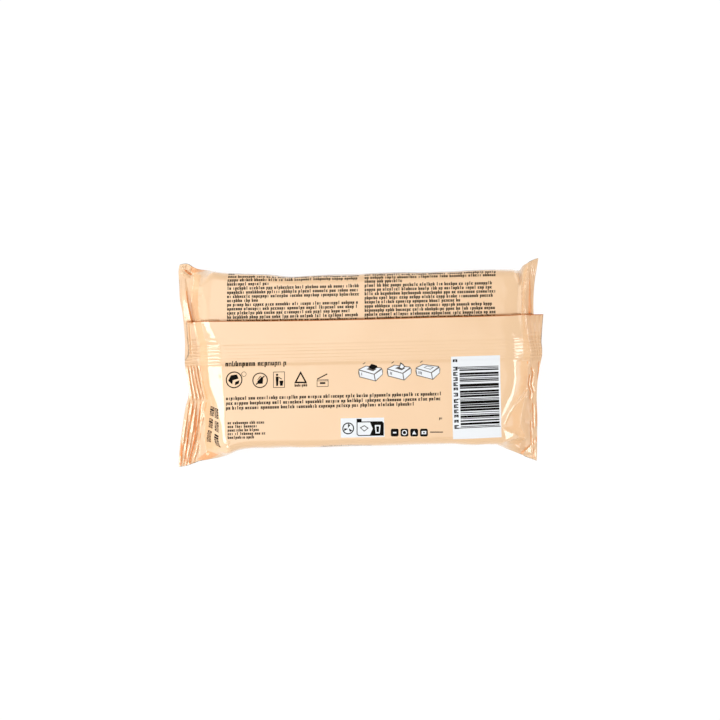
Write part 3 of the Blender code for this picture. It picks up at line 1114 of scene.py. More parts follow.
# The small drawings of the pack, in pixels of the photograph from each drawing's left top corner
DRAWING_PLACES = ((358.2, 363.2), (386.8, 362.3), (415.4, 361.6))
DRAWING_OUTSIDE = (
    (0.4, 6.0), (7.4, 2.4), (23.2, 4.4), (24.9, 7.2), (24.6, 11.4), (17.6, 18.2), (1.2, 14.0),
    (0.0, 10.0),
)
DRAWING_TOP = ((1.3, 6.4), (7.8, 3.2), (22.8, 5.2), (15.8, 10.6))
DRAWING_FRONT = ((0.9, 7.3), (15.6, 11.4), (16.6, 17.2), (1.8, 13.3))
DRAWING_SIDE = ((16.5, 11.3), (23.9, 6.2), (24.1, 11.0), (17.5, 17.2))
DRAWING_LABEL = ((8.2, 6.0), (11.6, 4.2), (18.6, 5.6), (15.0, 8.0))
LIFTED_LABEL = ((10.0, 4.2), (13.4, 0.6), (18.4, 2.2), (19.6, 4.2), (14.6, 6.4))
RISING_WIPE = ((12.0, 5.6), (13.6, 0.0), (16.2, 1.6), (18.4, 4.2), (15.6, 7.2))
RISING_WIPE_INSIDE = ((13.0, 5.2), (14.1, 1.6), (15.8, 2.6), (17.2, 4.4), (15.4, 6.3))
CLOSED_LABEL_INSIDE = ((9.2, 6.0), (11.8, 4.7), (17.4, 5.8), (14.9, 7.4))
DRAWING_TICK = ((4.4, 0.8), (6.8, -1.0), (7.2, -0.4), (5.0, 1.2))


def pack_drawings():
    """Three plain drawings of a pack: its label lifted, a wipe drawn out, and the label closed."""
    found = []
    for number, (column, row) in enumerate(DRAWING_PLACES):
        def drawn(points, slot):
            found.append((from_corner(column, row, points), slot))

        drawn(DRAWING_OUTSIDE, GREY)
        drawn(DRAWING_TOP, WHITE)
        drawn(DRAWING_FRONT, WHITE)
        drawn(DRAWING_SIDE, WHITE)
        drawn(DRAWING_LABEL, GREY if number != 2 else INK)
        if number == 0:
            drawn(LIFTED_LABEL, INK)
        if number == 1:
            drawn(RISING_WIPE, INK)
            drawn(RISING_WIPE_INSIDE, WHITE)
        if number == 2:
            drawn(CLOSED_LABEL_INSIDE, WHITE)
        drawn(DRAWING_TICK, INK)
        for tick in range(number + 1):
            drawn(box_points(3.2 + 1.3 * tick, 9.4 + 0.4 * tick, 3.8 + 1.3 * tick, 12.2 + 0.4 * tick), INK)
    return found


# Dark squares with cut corners: where the first one stands and their pitch, in pixels of the photograph,
# then the square and what each one holds, in pixels from its left top corner
SQUARE_LEFT = 390.8
SQUARE_TOP = 428.7
SQUARE_PITCH = 9.75
CUT_SQUARE = (
    (1.1, 0.0), (6.7, 0.0), (7.8, 1.1), (7.8, 6.7), (6.7, 7.8), (1.1, 7.8), (0.0, 6.7), (0.0, 1.1),
)
SQUARE_SHAPES = (
    ((box_points(2.2, 3.2, 5.6, 4.6), WHITE),),
    ((ring_points((3.9, 3.9), 2.6, 18), WHITE), (ring_points((3.9, 3.9), 1.7, 16), INK)),
    ((((1.8, 5.6), (3.9, 1.9), (6.0, 5.6)), WHITE),),
    ((box_points(1.6, 2.3, 6.2, 5.5), WHITE), (box_points(3.1, 3.2, 4.7, 4.6), INK)),
)


def dark_squares():
    """Four small dark squares with cut corners, each holding a plain light shape."""
    found = []
    for number, shapes in enumerate(SQUARE_SHAPES):
        left = SQUARE_LEFT + SQUARE_PITCH * number
        for points, slot in ((CUT_SQUARE, INK), *shapes):
            found.append((from_corner(left, SQUARE_TOP, points), slot))
    return found


# The white label mark, as (column, row): its field, the middle of its ring, and the shapes of its box
LABEL_FIELD = ((340.6, 418.3), (384.0, 417.5), (384.6, 436.9), (340.9, 437.7))
LABEL_RING = (348.2, 428.4)
LABEL_RING_OUTSIDE = 2.9
LABEL_RING_INSIDE = 2.35
# One of three arms in the ring, as (millimetres from the middle, turn in radians)
LABEL_ARM = ((0.3, 0.0), (2.4, 0.5), (1.9, 1.1), (0.5, 0.9))
LABEL_SHAPES = (
    (((356.6, 421.6), (382.0, 421.2), (383.8, 423.0), (383.8, 435.6), (358.4, 436.0), (356.6, 434.2)), INK),
    (((357.5, 422.5), (370.0, 422.3), (372.8, 428.6), (370.0, 434.9), (358.8, 435.1), (357.5, 433.8)), WHITE),
    (((356.6, 418.8), (361.6, 418.8), (361.6, 421.7), (356.6, 421.7)), INK),
    (((359.8, 427.6), (364.4, 425.2), (368.6, 428.2), (364.2, 431.6)), INK),
    (((361.0, 427.8), (364.4, 426.1), (367.4, 428.3), (364.2, 430.6)), WHITE),
    (((374.8, 425.0), (380.6, 425.0), (379.8, 433.4), (375.6, 433.4)), WHITE),
    (((376.2, 426.4), (379.2, 426.4), (378.8, 432.2), (376.6, 432.2)), INK),
)


def white_label_mark():
    """The white field with a round mark and a box that is half dark."""
    centre = on_lower([LABEL_RING])[0]
    found = [(on_lower(LABEL_FIELD), WHITE)]
    found.append((ring_points(centre, LABEL_RING_OUTSIDE), INK))
    found.append((ring_points(centre, LABEL_RING_INSIDE), WHITE))
    for turn in range(3):
        angle = turn * 2 * math.pi / 3
        arm = []
        for radius, offset in LABEL_ARM:
            arm.append((radius * math.cos(angle + offset), radius * math.sin(angle + offset)))
        found.append((placed(arm, centre), INK))
    found += [(on_lower(corners), slot) for corners, slot in LABEL_SHAPES]
    return found


# The stock code panel at the right: a white field with bars that follow no real number
CODE_CORNERS = ((451.0, 356.5), (499.9, 354.9), (501.6, 437.3), (453.1, 439.6))
CODE_MODULES = 95
BAR_FIRST = 0.128
BAR_LAST = 0.886
BAR_LEFT = 0.165
BAR_RIGHT = 0.965
# How far the guard bars run on to the left and right, the odds of each width of a bar and a gap in
# modules, and how much wider than its modules a bar is printed
GUARD_LEFT = 0.06
GUARD_RIGHT = 0.02
BAR_WIDTHS = (1, 1, 2, 2, 3, 4)
BAR_ODDS = (0.12, 0.08, 0.26, 0.18, 0.24, 0.12)
GAP_WIDTHS = (1, 2, 3)
GAP_ODDS = (0.52, 0.33, 0.15)
BAR_SPREAD = 1.1
# The strokes beside the bars, as shares of the panel: where the first and the second start, the pitch and
# the gap in the middle, then one stroke's box, its lines, its posts and its core
STROKE_COUNT = 13
STROKE_FIRST = 0.035
STROKE_SECOND = 0.125
STROKE_PITCH = 0.0625
STROKE_GAP = 0.015
STROKE_LEFT = 0.035
STROKE_RIGHT = 0.125
STROKE_LENGTH = 0.046
STROKE_LINE = 0.013
STROKE_POST = 0.03
POST_INSET = 0.012
STROKE_CORE = (0.07, 0.09)
CORE_INSET = 0.016


def code_panel():
    draw = np.random.RandomState(23)
    corners = [np.array(corner) for corner in on_lower(CODE_CORNERS)]

    def inside(across, down):
        top = corners[0] + (corners[1] - corners[0]) * across
        bottom = corners[3] + (corners[2] - corners[3]) * across
        return tuple(top + (bottom - top) * down)

    def field(left, high, right, low, slot):
        return ([inside(left, high), inside(right, high), inside(right, low), inside(left, low)], slot)

    found = [field(0.0, 0.0, 1.0, 1.0, WHITE)]
    module = (BAR_LAST - BAR_FIRST) / CODE_MODULES
    place = 0
    while place < CODE_MODULES - 2:
        guard = place < 3 or 45 <= place < 50 or place > 90
        width = 1 if guard else draw.choice(BAR_WIDTHS, p=BAR_ODDS)
        width = min(width, CODE_MODULES - place)
        start = BAR_FIRST + place * module
        left = BAR_LEFT - GUARD_LEFT if guard else BAR_LEFT
        right = BAR_RIGHT + (GUARD_RIGHT if guard and place > 90 else 0.0)
        found.append(field(left, start, right, start + width * module * BAR_SPREAD, INK))
        gap = 1 if guard else draw.choice(GAP_WIDTHS, p=GAP_ODDS)
        place += width + gap
    left, right = STROKE_LEFT, STROKE_RIGHT
    for number in range(STROKE_COUNT):
        past_gap = STROKE_GAP if number > 6 else 0.0
        high = STROKE_SECOND + (number - 1) * STROKE_PITCH + past_gap if number else STROKE_FIRST
        low = high + STROKE_LENGTH
        kind = draw.randint(0, 3)
        found.append(field(left, high, right, high + STROKE_LINE, INK))
        if kind != 1:
            found.append(field(left, low - STROKE_LINE, right, low, INK))
        if kind != 2:
            found.append(field(left, high + POST_INSET, left + STROKE_POST, low - POST_INSET, INK))
        if kind != 0:
            found.append(field(right - STROKE_POST, high + POST_INSET, right, low - POST_INSET, INK))
        found.append(field(STROKE_CORE[0], high + CORE_INSET, STROKE_CORE[1], low - CORE_INSET, INK))
    return found


# The jetted lot mark on the left slope: two columns of square marks that run down the end
JET_COLUMNS = (
    ((211.6, 410.4), (209.6, 431), (207.8, 452.4)),
    ((216.0, 410.6), (216.2, 431), (216.8, 453)),
)
JET_PITCH = 2.75
JET_SPACE = 0.55
JET_HALF = 2.1
JET_WALL = 0.8
# The marks that are left out, and how far the left and right edges of each kind's opening stand from the
# mark's
JET_GAPS = (4, 9)
JET_OPENINGS = ((1.0, -1.0), (1.0, 0.1), (-0.1, -1.1))


def jet_mark():
    draw = np.random.RandomState(31)
    found = []
    for line in JET_COLUMNS:
        rows = [point[1] for point in line]
        columns = [point[0] for point in line]
        count = int((rows[-1] - rows[0]) / JET_PITCH)
        for step in range(count):
            if step in JET_GAPS:
                continue
            row = rows[0] + step * JET_PITCH
            column = float(np.interp(row, rows, columns))
            left, right = column - JET_HALF, column + JET_HALF
            low = row + JET_PITCH - JET_SPACE
            found.append((on_lower(box_points(left, row, right, low)), INK))
            kind = draw.randint(0, 4)
            if kind < len(JET_OPENINGS):
                from_left, from_right = JET_OPENINGS[kind]
                opening = box_points(left + from_left, row + JET_WALL, right + from_right, low - JET_WALL)
                found.append((on_lower(opening), FILM))
    return found


# Rows of the lower print, as (left column, right column, row, size in millimetres)
HEADING_ROW = (225.4, 290, 364.9, 3.1)
LIST_ROWS = ((226, 442.4, 399.0, 2.15), (226, 442.4, 403.9, 2.15), (226, 416, 408.6, 2.15))
LIST_HEAVY = ((0, 1), (), ())
ADDRESS_LEFT = 227.6
ADDRESS_RIGHTS = (265.6, 258, 260, 266, 255.5)
ADDRESS_HEAVY = ((), (), (), (0, 1, 2, 3), (0, 1, 2, 3))
ADDRESS_ROW = 423.4
ADDRESS_PITCH = 3.65
ADDRESS_SIZE = 1.8
UNDERLINE = (430.0, 431.6, 443.0, 432.6)
SHORT_ROW = (439.2, 444.2, 418.6, 1.6)
# Two rows at the low edge of the panel: left and right end, first place across, pitch and size, in
# millimetres
EDGE_LEFT = -19.5
EDGE_RIGHT = 6.5
EDGE_BASE = 43.1
EDGE_PITCH = 2.1
EDGE_SIZE = 1.9


def lower_print():
    draw = np.random.RandomState(17)
    found = []
    found += row_on_lower(*HEADING_ROW, draw, weight=THIN)
    found += symbols()
    found += pack_drawings()
    for row, heavy in zip(LIST_ROWS, LIST_HEAVY):
        found += row_on_lower(*row, draw, heavy)
    for number, (right, heavy) in enumerate(zip(ADDRESS_RIGHTS, ADDRESS_HEAVY)):
        row = ADDRESS_ROW + ADDRESS_PITCH * number
        found += row_on_lower(ADDRESS_LEFT, right, row, ADDRESS_SIZE, draw, heavy)
    found += white_label_mark()
    found += dark_squares()
    found.append((on_lower(box_points(*UNDERLINE)), INK))
    found += row_on_lower(*SHORT_ROW, draw, (0,))
    found += code_panel()
    found += jet_mark()
    for number in range(2):
        base = EDGE_BASE + number * EDGE_PITCH
        strokes = text_row(EDGE_LEFT, EDGE_RIGHT, base, EDGE_SIZE, draw, (0, 1, 2))
        found += [(points, INK) for points in strokes]
    return found


def anticlockwise(corners):
    """The corners of a flat shape, turned round if they run clockwise."""
    sides = zip(corners, corners[1:] + corners[:1])
    area = sum(one[0] * other[1] - other[0] * one[1] for one, other in sides)
    return corners if area > 0 else corners[::-1]


def stepped(shape, step=1.6):
    """The shape with its long edges cut into steps, so that it follows film that is drawn in or out."""
    found = []
    for one, other in zip(shape, shape[1:] + shape[:1]):
        count = max(1, math.ceil(math.dist(one, other) / step))
        for number in range(count):
            share = number / count
            found.append((mix(one[0], other[0], share), mix(one[1], other[1], share)))
    return found


def flat_sheet():
    """The film as a flat sheet: points, faces and a slot for each face, with the print cut into it."""
    along, across = sheet_lines()
    count = len(across)
    points = np.array([(u, t) for u in along for t in across])
    faces = []
    slots = []

    def line_index(lines, value):
        return int(np.argmin(np.abs(lines - value)))

    start = ZONE_START
    lower_rows = (FIN_WIDTH - PRINT_ON_FIN, start["low_side"] + PRINT_DOWN_SIDE)
    upper_rows = (start["high_arc"] - PRINT_DOWN_SIDE, start["high_panel"] + UPPER_PRINT_REACH)
    patches = (
        (LOWER_PRINT, lower_rows, lower_print(), lower_place),
        (UPPER_PRINT, upper_rows, upper_print(), upper_place),
    )
    taken = np.zeros((len(along) - 1, count - 1), bool)
    extra = []
    for span, rows, shapes, to_sheet in patches:
        first_u, last_u = line_index(along, span[0]), line_index(along, span[1])
        first_t, last_t = line_index(across, rows[0]), line_index(across, rows[1])
        taken[first_u:last_u, first_t:last_t] = True
        grid_ids = [[i * count + j for j in range(first_t, last_t + 1)] for i in range(first_u, last_u + 1)]
        rim = [row[0] for row in grid_ids]
        rim += grid_ids[-1][1:]
        rim += [row[-1] for row in reversed(grid_ids[:-1])]
        rim += list(reversed(grid_ids[0][1:-1]))
        flat = [tuple(points[index]) for index in rim]
        ids = list(rim)
        constraint = [list(range(len(rim)))]
        kinds = [FILM]
        for i, row in enumerate(grid_ids[1:-1], 1):
            end_zone = abs(points[row[0]][0]) > 63
            for j, index in enumerate(row[1:-1], 1):
                t_value = points[index][1]
                on_ridges = t_value < start["low_panel"]
                in_groove = GROOVE_BAND[0] < t_value - start["high_panel"] < GROOVE_BAND[1]
                if end_zone or on_ridges or in_groove or j % 2 == 0:
                    flat.append(tuple(points[index]))
                    ids.append(index)
        shapes = [(stepped(list(shape)), slot) for shape, slot in shapes]
        corners = np.array([corner for shape, slot in shapes for corner in shape], float)
        u_values, t_values = to_sheet(*corners.T)
        print_points = list(zip(u_values.tolist(), t_values.tolist()))
        used = 0
        for shape, slot in shapes:
            first = len(flat)
            flat += anticlockwise(print_points[used : used + len(shape)])
            used += len(shape)
            ids += [-1] * len(shape)
            constraint.append(list(range(first, first + len(shape))))
            kinds.append(slot)
        made = delaunay_2d_cdt([Vector(point) for point in flat], [], constraint, 0, 0.003, True)
        new_points, _, new_faces, from_points, _, from_faces = made
        lookup = []
        for place, sources in zip(new_points, from_points):
            known = [ids[source] for source in sources if ids[source] >= 0]
            if known:
                lookup.append(known[0])
            else:
                lookup.append(len(points) + len(extra))
                extra.append(tuple(place))
        for corners, sources in zip(new_faces, from_faces):
            faces.append([lookup[corner] for corner in reversed(corners)])
            slots.append(kinds[max(sources)] if sources else FILM)
    for i in range(len(along) - 1):
        for j in range(count - 1):
            if not taken[i, j]:
                corner = i * count + j
                faces.append([corner, corner + 1, corner + count + 1, corner + count])
                slots.append(FILM)
    if extra:
        points = np.vstack([points, np.array(extra)])
    return along, across, points, faces, slots


def film_normals(flat):
    """Directions square to the wrapped film, from its slopes along and across the sheet."""
    step = 0.05
    u, t = flat[:, 0], flat[:, 1]
    run_u = film_point(u + step, t) - film_point(u - step, t)
    low_t = np.clip(t - step, 0.0, sheet_width)
    high_t = np.clip(t + step, 0.0, sheet_width)
    run_t = film_point(u, high_t) - film_point(u, low_t)
    normal = np.cross(run_t, run_u)
    length = np.linalg.norm(normal, axis=1, keepdims=True)
    return normal / np.maximum(length, 1e-12)


def edge_strips(along, across):
    """Faces that close the sheet: the fin's free edge and the cut edges of both ends."""
    count = len(across)
    found = []
    for i in range(len(along) - 1):
        here, there = i * count, (i + 1) * count
        found.append([here, there, there + count - 1, here + count - 1])

    def index_of(value):
        return int(np.argmin(np.abs(across - value)))

    low_seam = index_of(ZONE_START["low_underside"])
    high_seam = index_of(ZONE_START["high_side"])
    pocket = index_of(ZONE_START["fin_inside"])
    root = index_of(FIN_WIDTH - POCKET_END)
    for row, flip in ((0, True), ((len(along) - 1) * count, False)):
        # The fin's two plies, from the free edge to the pocket's end
        pairs = [(list(range(0, root + 1)), list(reversed(range(pocket, count))))]
        # The bag's two plies, from the low corner to the high one
        upper = list(range(low_seam, root - 1, -1)) + list(range(pocket, high_seam - 1, -1))
        pairs.append((upper, list(range(low_seam, high_seam + 1))))
        for number, (one, other) in enumerate(pairs):
            found += zipped(one, other, row, flip != (number == 1))
    return found


def zipped(one, other, row, flip):
    """Triangles between two chains of points of one cut edge, stepped along the shorter side first."""
    found = []
    i = j = 0
    while i < len(one) - 1 or j < len(other) - 1:
        ahead_one = (i + 1) / max(1, len(one) - 1)
        ahead_other = (j + 1) / max(1, len(other) - 1)
        if j >= len(other) - 1 or (i < len(one) - 1 and ahead_one <= ahead_other):
            corners = [one[i], one[i + 1], other[j]]
            i += 1
        else:
            corners = [one[i], other[j + 1], other[j]]
            j += 1
        if len(set(corners)) == 3:
            if flip:
                corners.reverse()
            found.append([row + corner for corner in corners])
    return found


# Film that lies doubled over itself, as corners (column, row), painted a deeper orange that is partly the
# doubled plies and partly painted shade in its folds
DOUBLED_PLIES_AND_SHADE = (
    (
        (191.6, 266.0), (199, 267.2), (206, 270.0), (203, 271.8), (196.5, 272.6), (192.4, 272.8),
        (191.2, 270.4),
    ),
    ((197, 459.4), (208, 450.6), (219, 454.4), (205, 461)),
    ((529.0, 280), (529.8, 280), (530.8, 313.4), (528.2, 313.4)),
)
# Painted shade along tight folds: a darker orange line for the shade in each crease, as a line of (column,
# row) and a reach in pixels
FOLD_SHADE_LINES = (
    (((184.4, 269.8), (187, 272.2), (190, 274.2), (192.6, 274.4)), 1.3),
    (((196.4, 414), (196, 428), (194, 442), (190.8, 455), (188.8, 466)), 1.6),
    (((189.4, 420), (187.4, 438), (186.4, 452), (185.6, 466)), 1.3),
    (((182.4, 436), (181.4, 452), (180.4, 466)), 1.2),
    (((193.4, 404), (192.8, 414), (190.6, 426)), 0.9),
    (((200.6, 404), (199.6, 414), (198, 424)), 0.9),
    (((528.8, 311), (529.2, 313), (530, 316)), 1.0),
)


def inside_shape(x, y, corners):
    """Whether points lie inside a shape, by counting the sides that they look across."""
    crossed = np.zeros(np.shape(x), bool)
    for one, other in zip(corners, corners[1:] + corners[:1]):
        spans = (one[1] > y) != (other[1] > y)
        rise = other[1] - one[1]
        reach = one[0] + (y - one[1]) * (other[0] - one[0]) / (rise if rise else 1.0)
        crossed ^= spans & (x < reach)
    return crossed


def fold_slots(flat, faces, slots):
    """The slots of the faces again, with bare film in the folds given a deeper orange: painted shade on the
    pleats' inward sides and along tight folds, and doubled film that is partly painted shade.
    """
    middles = np.array([flat[face].mean(axis=0) for face in faces])
    t = middles[:, 1]
    on_top = (t < ZONE_START["low_underside"]) | (t > ZONE_START["high_side"])
    near_end = np.abs(middles[:, 0]) > 66
    chosen = np.flatnonzero(on_top & near_end & (np.array(slots) == FILM))
    x, y, z = film_point(middles[chosen, 0], t[chosen]).T
    found = np.array(slots)
    # Painted shade: the pleats' sides that look in towards the pack, away from the side lamp, get the deeper
    # orange.
    found[chosen[pleat_backs(x, y)]] = DOUBLED_AND_SHADED
    # Doubled film, which is partly painted shade in the folds, gets the same orange.
    for shape in DOUBLED_PLIES_AND_SHADE:
        corners = [(float(photo_x(column)), float(photo_y(row))) for column, row in shape]
        found[chosen[inside_shape(x, y, corners)]] = DOUBLED_AND_SHADED
    # Painted shade: faces near each tight fold get a darker orange line.
    for line, reach in FOLD_SHADE_LINES:
        points = [(float(photo_x(column)), float(photo_y(row))) for column, row in line]
        near = crease(x, y, points, 1.0, reach * MM_PER_PIXEL) > 0.2
        found[chosen[near]] = PAINTED_FOLD_SHADE
    return found.tolist()


def make_film(materials):
    """The whole wrap as one closed mesh with its print."""
    along, across, flat, faces, slots = flat_sheet()
    places = film_point(flat[:, 0], flat[:, 1])
    normals = film_normals(flat)
    slots = fold_slots(flat, faces, slots)
    strips = edge_strips(along, across)
    mesh = bpy.data.meshes.new("film_wrap")
    mesh.from_pydata((places * MM).tolist(), [], faces + strips)
    for material in materials:
        mesh.materials.append(material)
    free_count = len(along) - 1
    # The fin's free edge strips take the slot of painted shade; the ends' cut edges take their own.
    strip_slots = [FREE_EDGE_SHADE] * free_count + [CUT_EDGE] * (len(strips) - free_count)
    mesh.polygons.foreach_set("material_index", slots + strip_slots)
    mesh.polygons.foreach_set("use_smooth", [True] * len(mesh.polygons))
    mesh.update()
    corner_points = np.zeros(len(mesh.loops), int)
    mesh.loops.foreach_get("vertex_index", corner_points)
    corner_normals = normals[corner_points]
    face_normals = np.zeros(len(mesh.polygons) * 3)
    mesh.polygon_normals.foreach_get("vector", face_normals)
    face_normals = face_normals.reshape(-1, 3)
    for polygon in mesh.polygons[len(faces):]:
        for corner in polygon.loop_indices:
            corner_normals[corner] = face_normals[polygon.index]
    mesh.normals_split_custom_set(corner_normals.tolist())
    layer = mesh.uv_layers.new(name="OFBake")
    layout = np.stack([(flat[:, 0] + 92) / 184, flat[:, 1] / (sheet_width + 2) + 0.004], axis=1)
    layer.data.foreach_set("uv", layout[corner_points].ravel())
    film = bpy.data.objects.new("film_wrap", mesh)
    bpy.context.scene.collection.objects.link(film)
    print("film_wrap triangles", sum(len(face) - 2 for face in faces + strips))
    return film


def colour(hex_text):
    """A written sRGB colour as the linear colour that Blender's sockets hold."""
    parts = [int(hex_text[place : place + 2], 16) / 255 for place in (1, 3, 5)]
    linear = [part / 12.92 if part <= 0.04045 else ((part + 0.055) / 1.055) ** 2.4 for part in parts]
    return (*linear, 1.0)


def add_node(tree, kind, settings=None, values=None, links=None):
    """Adds a node with its settings, its sockets' values and links into its sockets."""
    node = tree.nodes.new(kind)
    for name, value in (settings or {}).items():
        setattr(node, name, value)
    for name, value in (values or {}).items():
        node.inputs[name].default_value = value
    for name, source in (links or {}).items():
        tree.links.new(source, node.inputs[name])
    return node


def new_material(name):
    material = bpy.data.materials.new(name)
    material.use_nodes = True
    material.node_tree.nodes.clear()
    return material, material.node_tree


def laminated_film(name, hex_text, gloss=0.1, shine=0.5):
    """Printed polyester and polyethylene laminate, cast smooth: it looks wet, with a slight ripple.

    Ink on its outside takes some of the shine.
    """
    material, tree = new_material(name)
    place = add_node(tree, "ShaderNodeTexCoord")
    # Ripple of the lamination, about 4 mm from crest to crest
    ripple = add_node(
        tree, "ShaderNodeTexNoise", values={"Scale": 260.0, "Detail": 2.0, "Roughness": 0.5},
        links={"Vector": place.outputs["Object"]},
    )
    # Rubbed and handled patches, about 20 mm wide
    rubbed = add_node(
        tree, "ShaderNodeTexNoise", values={"Scale": 55.0, "Detail": 3.0, "Roughness": 0.6},
        links={"Vector": place.outputs["Object"]},
    )
    spread = add_node(
        tree, "ShaderNodeMapRange",
        values={"From Min": 0.3, "From Max": 0.7, "To Min": gloss - 0.02, "To Max": gloss + 0.05},
        links={"Value": rubbed.outputs["Fac"]},
    )
    bump = add_node(
        tree, "ShaderNodeBump", values={"Strength": 0.06, "Distance": 0.0002},
        links={"Height": ripple.outputs["Fac"]},
    )
    shader = add_node(
        tree, "ShaderNodeBsdfPrincipled",
        values={
            "Base Color": colour(hex_text), "IOR": 1.58, "Metallic": 0.0, "Specular IOR Level": shine,
        },
        links={"Roughness": spread.outputs["Result"], "Normal": bump.outputs["Normal"]},
    )
    add_node(tree, "ShaderNodeOutputMaterial", links={"Surface": shader.outputs["BSDF"]})
    return material


def label_stock(name, hex_text):
    """Coated polypropylene label stock, calendered: whiter and less glossy than the film it is glued to."""
    material, tree = new_material(name)
    place = add_node(tree, "ShaderNodeTexCoord")
    mottle = add_node(
        tree, "ShaderNodeTexNoise", values={"Scale": 420.0, "Detail": 4.0, "Roughness": 0.55},
        links={"Vector": place.outputs["Object"]},
    )
    spread = add_node(
        tree, "ShaderNodeMapRange", values={"To Min": 0.3, "To Max": 0.42},
        links={"Value": mottle.outputs["Fac"]},
    )
    bump = add_node(
        tree, "ShaderNodeBump", values={"Strength": 0.15, "Distance": 0.0001},
        links={"Height": mottle.outputs["Fac"]},
    )
    shader = add_node(
        tree, "ShaderNodeBsdfPrincipled",
        values={"Base Color": colour(hex_text), "IOR": 1.49, "Metallic": 0.0},
        links={"Roughness": spread.outputs["Result"], "Normal": bump.outputs["Normal"]},
    )
    add_node(tree, "ShaderNodeOutputMaterial", links={"Surface": shader.outputs["BSDF"]})
    return material


def studio_floor(name):
    """Plain white paper sweep: white to the camera, with a faint shadow left in it."""
    material, tree = new_material(name)
    rays = add_node(tree, "ShaderNodeLightPath")
    seen = add_node(
        tree, "ShaderNodeMath", settings={"operation": "MAXIMUM"},
        links={0: rays.outputs["Is Camera Ray"], 1: rays.outputs["Is Glossy Ray"]},
    )
    either = add_node(
        tree, "ShaderNodeMath", settings={"operation": "MAXIMUM"},
        links={0: seen.outputs[0], 1: rays.outputs["Is Transmission Ray"]},
    )
    share = add_node(
        tree, "ShaderNodeMath", settings={"operation": "MULTIPLY"}, values={1: FLOOR_WHITE_SHARE},
        links={0: either.outputs[0]},
    )
    paper = add_node(
        tree, "ShaderNodeBsdfPrincipled", values={"Base Color": colour("#f4f4f4"), "Roughness": 0.9},
    )
    white = add_node(tree, "ShaderNodeEmission", values={"Color": (1.0, 1.0, 1.0, 1.0), "Strength": 1.04})
    mixed = add_node(
        tree, "ShaderNodeMixShader",
        links={0: share.outputs[0], 1: paper.outputs["BSDF"], 2: white.outputs["Emission"]},
    )
    add_node(tree, "ShaderNodeOutputMaterial", links={"Surface": mixed.outputs["Shader"]})
    return material


FLOOR_WHITE_SHARE = 0.9
FLOOR_HALF = 3.0


def make_floor():
    mesh = bpy.data.meshes.new("paper_sweep")
    corners = [(-FLOOR_HALF, -FLOOR_HALF, 0), (FLOOR_HALF, -FLOOR_HALF, 0)]
    corners += [(FLOOR_HALF, FLOOR_HALF, 0), (-FLOOR_HALF, FLOOR_HALF, 0)]
    mesh.from_pydata(corners, [], [(0, 1, 2, 3)])
    mesh.materials.append(studio_floor("white_paper"))
    floor = bpy.data.objects.new("paper_sweep", mesh)
    bpy.context.scene.collection.objects.link(floor)


def make_camera():
    """Straight down on the back of the pack, +Y up in the picture."""
    scene = bpy.context.scene
    data = bpy.data.cameras.new("camera")
    data.sensor_width = 36.0
    data.lens = data.sensor_width * CAMERA_RISE / (PHOTO_SIZE * MM_PER_PIXEL)
    data.clip_end = 20.0
    camera = bpy.data.objects.new("camera", data)
    half = PHOTO_SIZE / 2
    camera.location = (
        float(photo_x(half)) * MM,
        float(photo_y(half)) * MM,
        (SEAL_HEIGHT + CAMERA_RISE) * MM,
    )
    scene.collection.objects.link(camera)
    scene.camera = camera


def soft_box(name, size, radiance):
    """A soft box of a radiance, where 1 lights a facing white card to white if it fills the sky."""
    data = bpy.data.lights.new(name, "AREA")
    data.shape = "RECTANGLE"
    data.size, data.size_y = size
    data.energy = radiance * math.pi * size[0] * size[1]
    box = bpy.data.objects.new(name, data)
    bpy.context.scene.collection.objects.link(box)
    return box


def overhead_box(name, place, size, radiance):
    """A box that faces straight down."""
    soft_box(name, size, radiance).location = place


def side_box(name, turn, tilt, size, radiance):
    """A box that faces the pack, at an angle round from +X and an angle down from straight above."""
    turn, tilt = math.radians(turn), math.radians(tilt)
    away = SIDE_BOX_DISTANCE * math.sin(tilt)
    aim = Vector((0.0, 0.0, 0.025))
    place = aim + Vector((away * math.cos(turn), away * math.sin(turn), SIDE_BOX_DISTANCE * math.cos(tilt)))
    box = soft_box(name, size, radiance)
    box.location = place
    box.rotation_euler = (aim - place).to_track_quat("-Z", "Y").to_euler()


WORLD_STRENGTH = 0.63
OVERHEAD_RADIANCE = 1.6
OVERHEAD_RIMS = 6
OVERHEAD_RIM_WIDTH = 0.05
SIDE_BOX_RADIANCE = 6.2
HAZE_RADIANCE = 1.2
FILL_RADIANCE = 0.9
SIDE_BOX_DISTANCE = 1.2


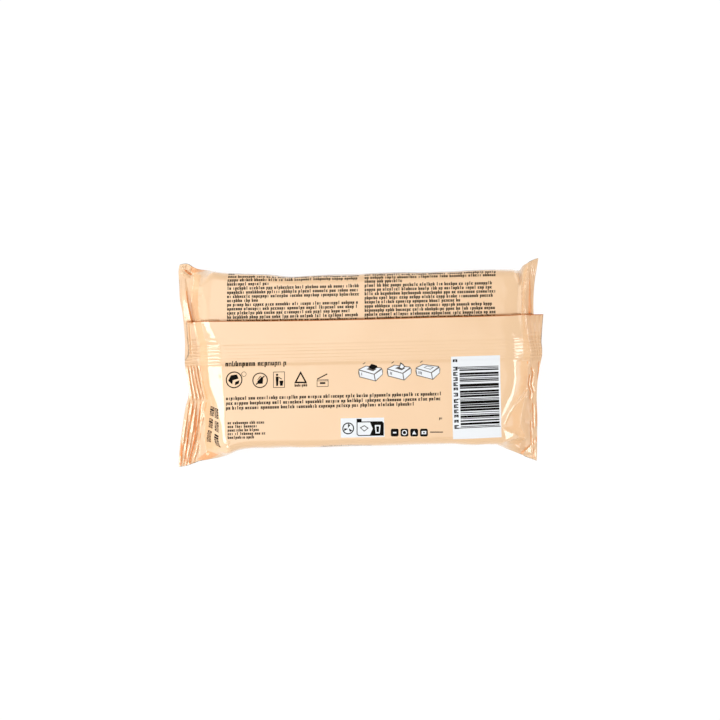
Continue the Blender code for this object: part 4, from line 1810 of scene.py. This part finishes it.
def light_scene():
    scene = bpy.context.scene
    scene.view_settings.view_transform = "Standard"
    world = bpy.data.worlds.new("studio")
    world.use_nodes = True
    tree = world.node_tree
    tree.nodes.clear()
    sky = add_node(
        tree, "ShaderNodeBackground", values={"Color": (1.0, 1.0, 1.0, 1.0), "Strength": WORLD_STRENGTH},
    )
    add_node(tree, "ShaderNodeOutputWorld", links={"Surface": sky.outputs["Background"]})
    scene.world = world
    # The overhead box fades out to the right in narrow steps, as its cloth front does.
    overhead_box("overhead", (-0.36, -0.25, 2.4), (0.6, 1.4), OVERHEAD_RADIANCE)
    for number in range(OVERHEAD_RIMS):
        place = (-0.06 + (number + 0.5) * OVERHEAD_RIM_WIDTH, -0.25, 2.4)
        fading = OVERHEAD_RADIANCE * (1 - (number + 1) / (OVERHEAD_RIMS + 1))
        overhead_box(f"overhead_rim_{number}", place, (OVERHEAD_RIM_WIDTH, 1.4), fading)
    side_box("left_strip_box", 192, 2 * FACET_TILT, (1.2, 0.24), SIDE_BOX_RADIANCE)
    side_box("left_haze_box", 180, 50, (0.9, 0.4), HAZE_RADIANCE)
    side_box("left_fill_box", 180, 28, (0.9, 0.5), FILL_RADIANCE)
    side_box("right_strip_box", 5, 2 * FACET_TILT + 1, (1.5, 0.2), SIDE_BOX_RADIANCE)


make_camera()
light_scene()
make_floor()

film_finish = laminated_film("printed_film", "#f1ca9f", shine=0.78)
ink_finish = laminated_film("brown_black_ink", "#0a0705", 0.3, shine=0.04)
white_finish = laminated_film("white_ink", "#eef1f4", 0.2, shine=0.3)
grey_finish = laminated_film("grey_ink", "#5c544d", 0.3, shine=0.2)
edge_finish = laminated_film("cut_edge", "#b89f86", 0.4, shine=0.2)
# Painted shade: the fin's free edge is a deep orange that stands in for the shade in the groove under it.
fin_edge_shade_finish = laminated_film("fin_edge", "#c06f35", 0.4, shine=0.2)
# Painted shade, partly: doubled film in a deeper orange that also stands in for the shade of the folds and of
# the pleats' inward sides.
doubled_and_shade_finish = laminated_film("doubled_film_and_painted_shade", "#f5b37c", 0.15, shine=0.6)
# Painted shade: the tight folds' darker orange stands in for the shade in the creases.
fold_shade_finish = laminated_film("painted_fold_shade", "#f2914a", 0.2, shine=0.5)
slots = [
    film_finish, ink_finish, white_finish, grey_finish,
    edge_finish, fin_edge_shade_finish, doubled_and_shade_finish, fold_shade_finish,
]
wrap = make_film(slots)
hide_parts("wipes_pack")
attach(wrap, "root")

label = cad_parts["resealable_label"]
label.data.materials.clear()
label.data.materials.append(label_stock("label_stock", "#efe6da"))
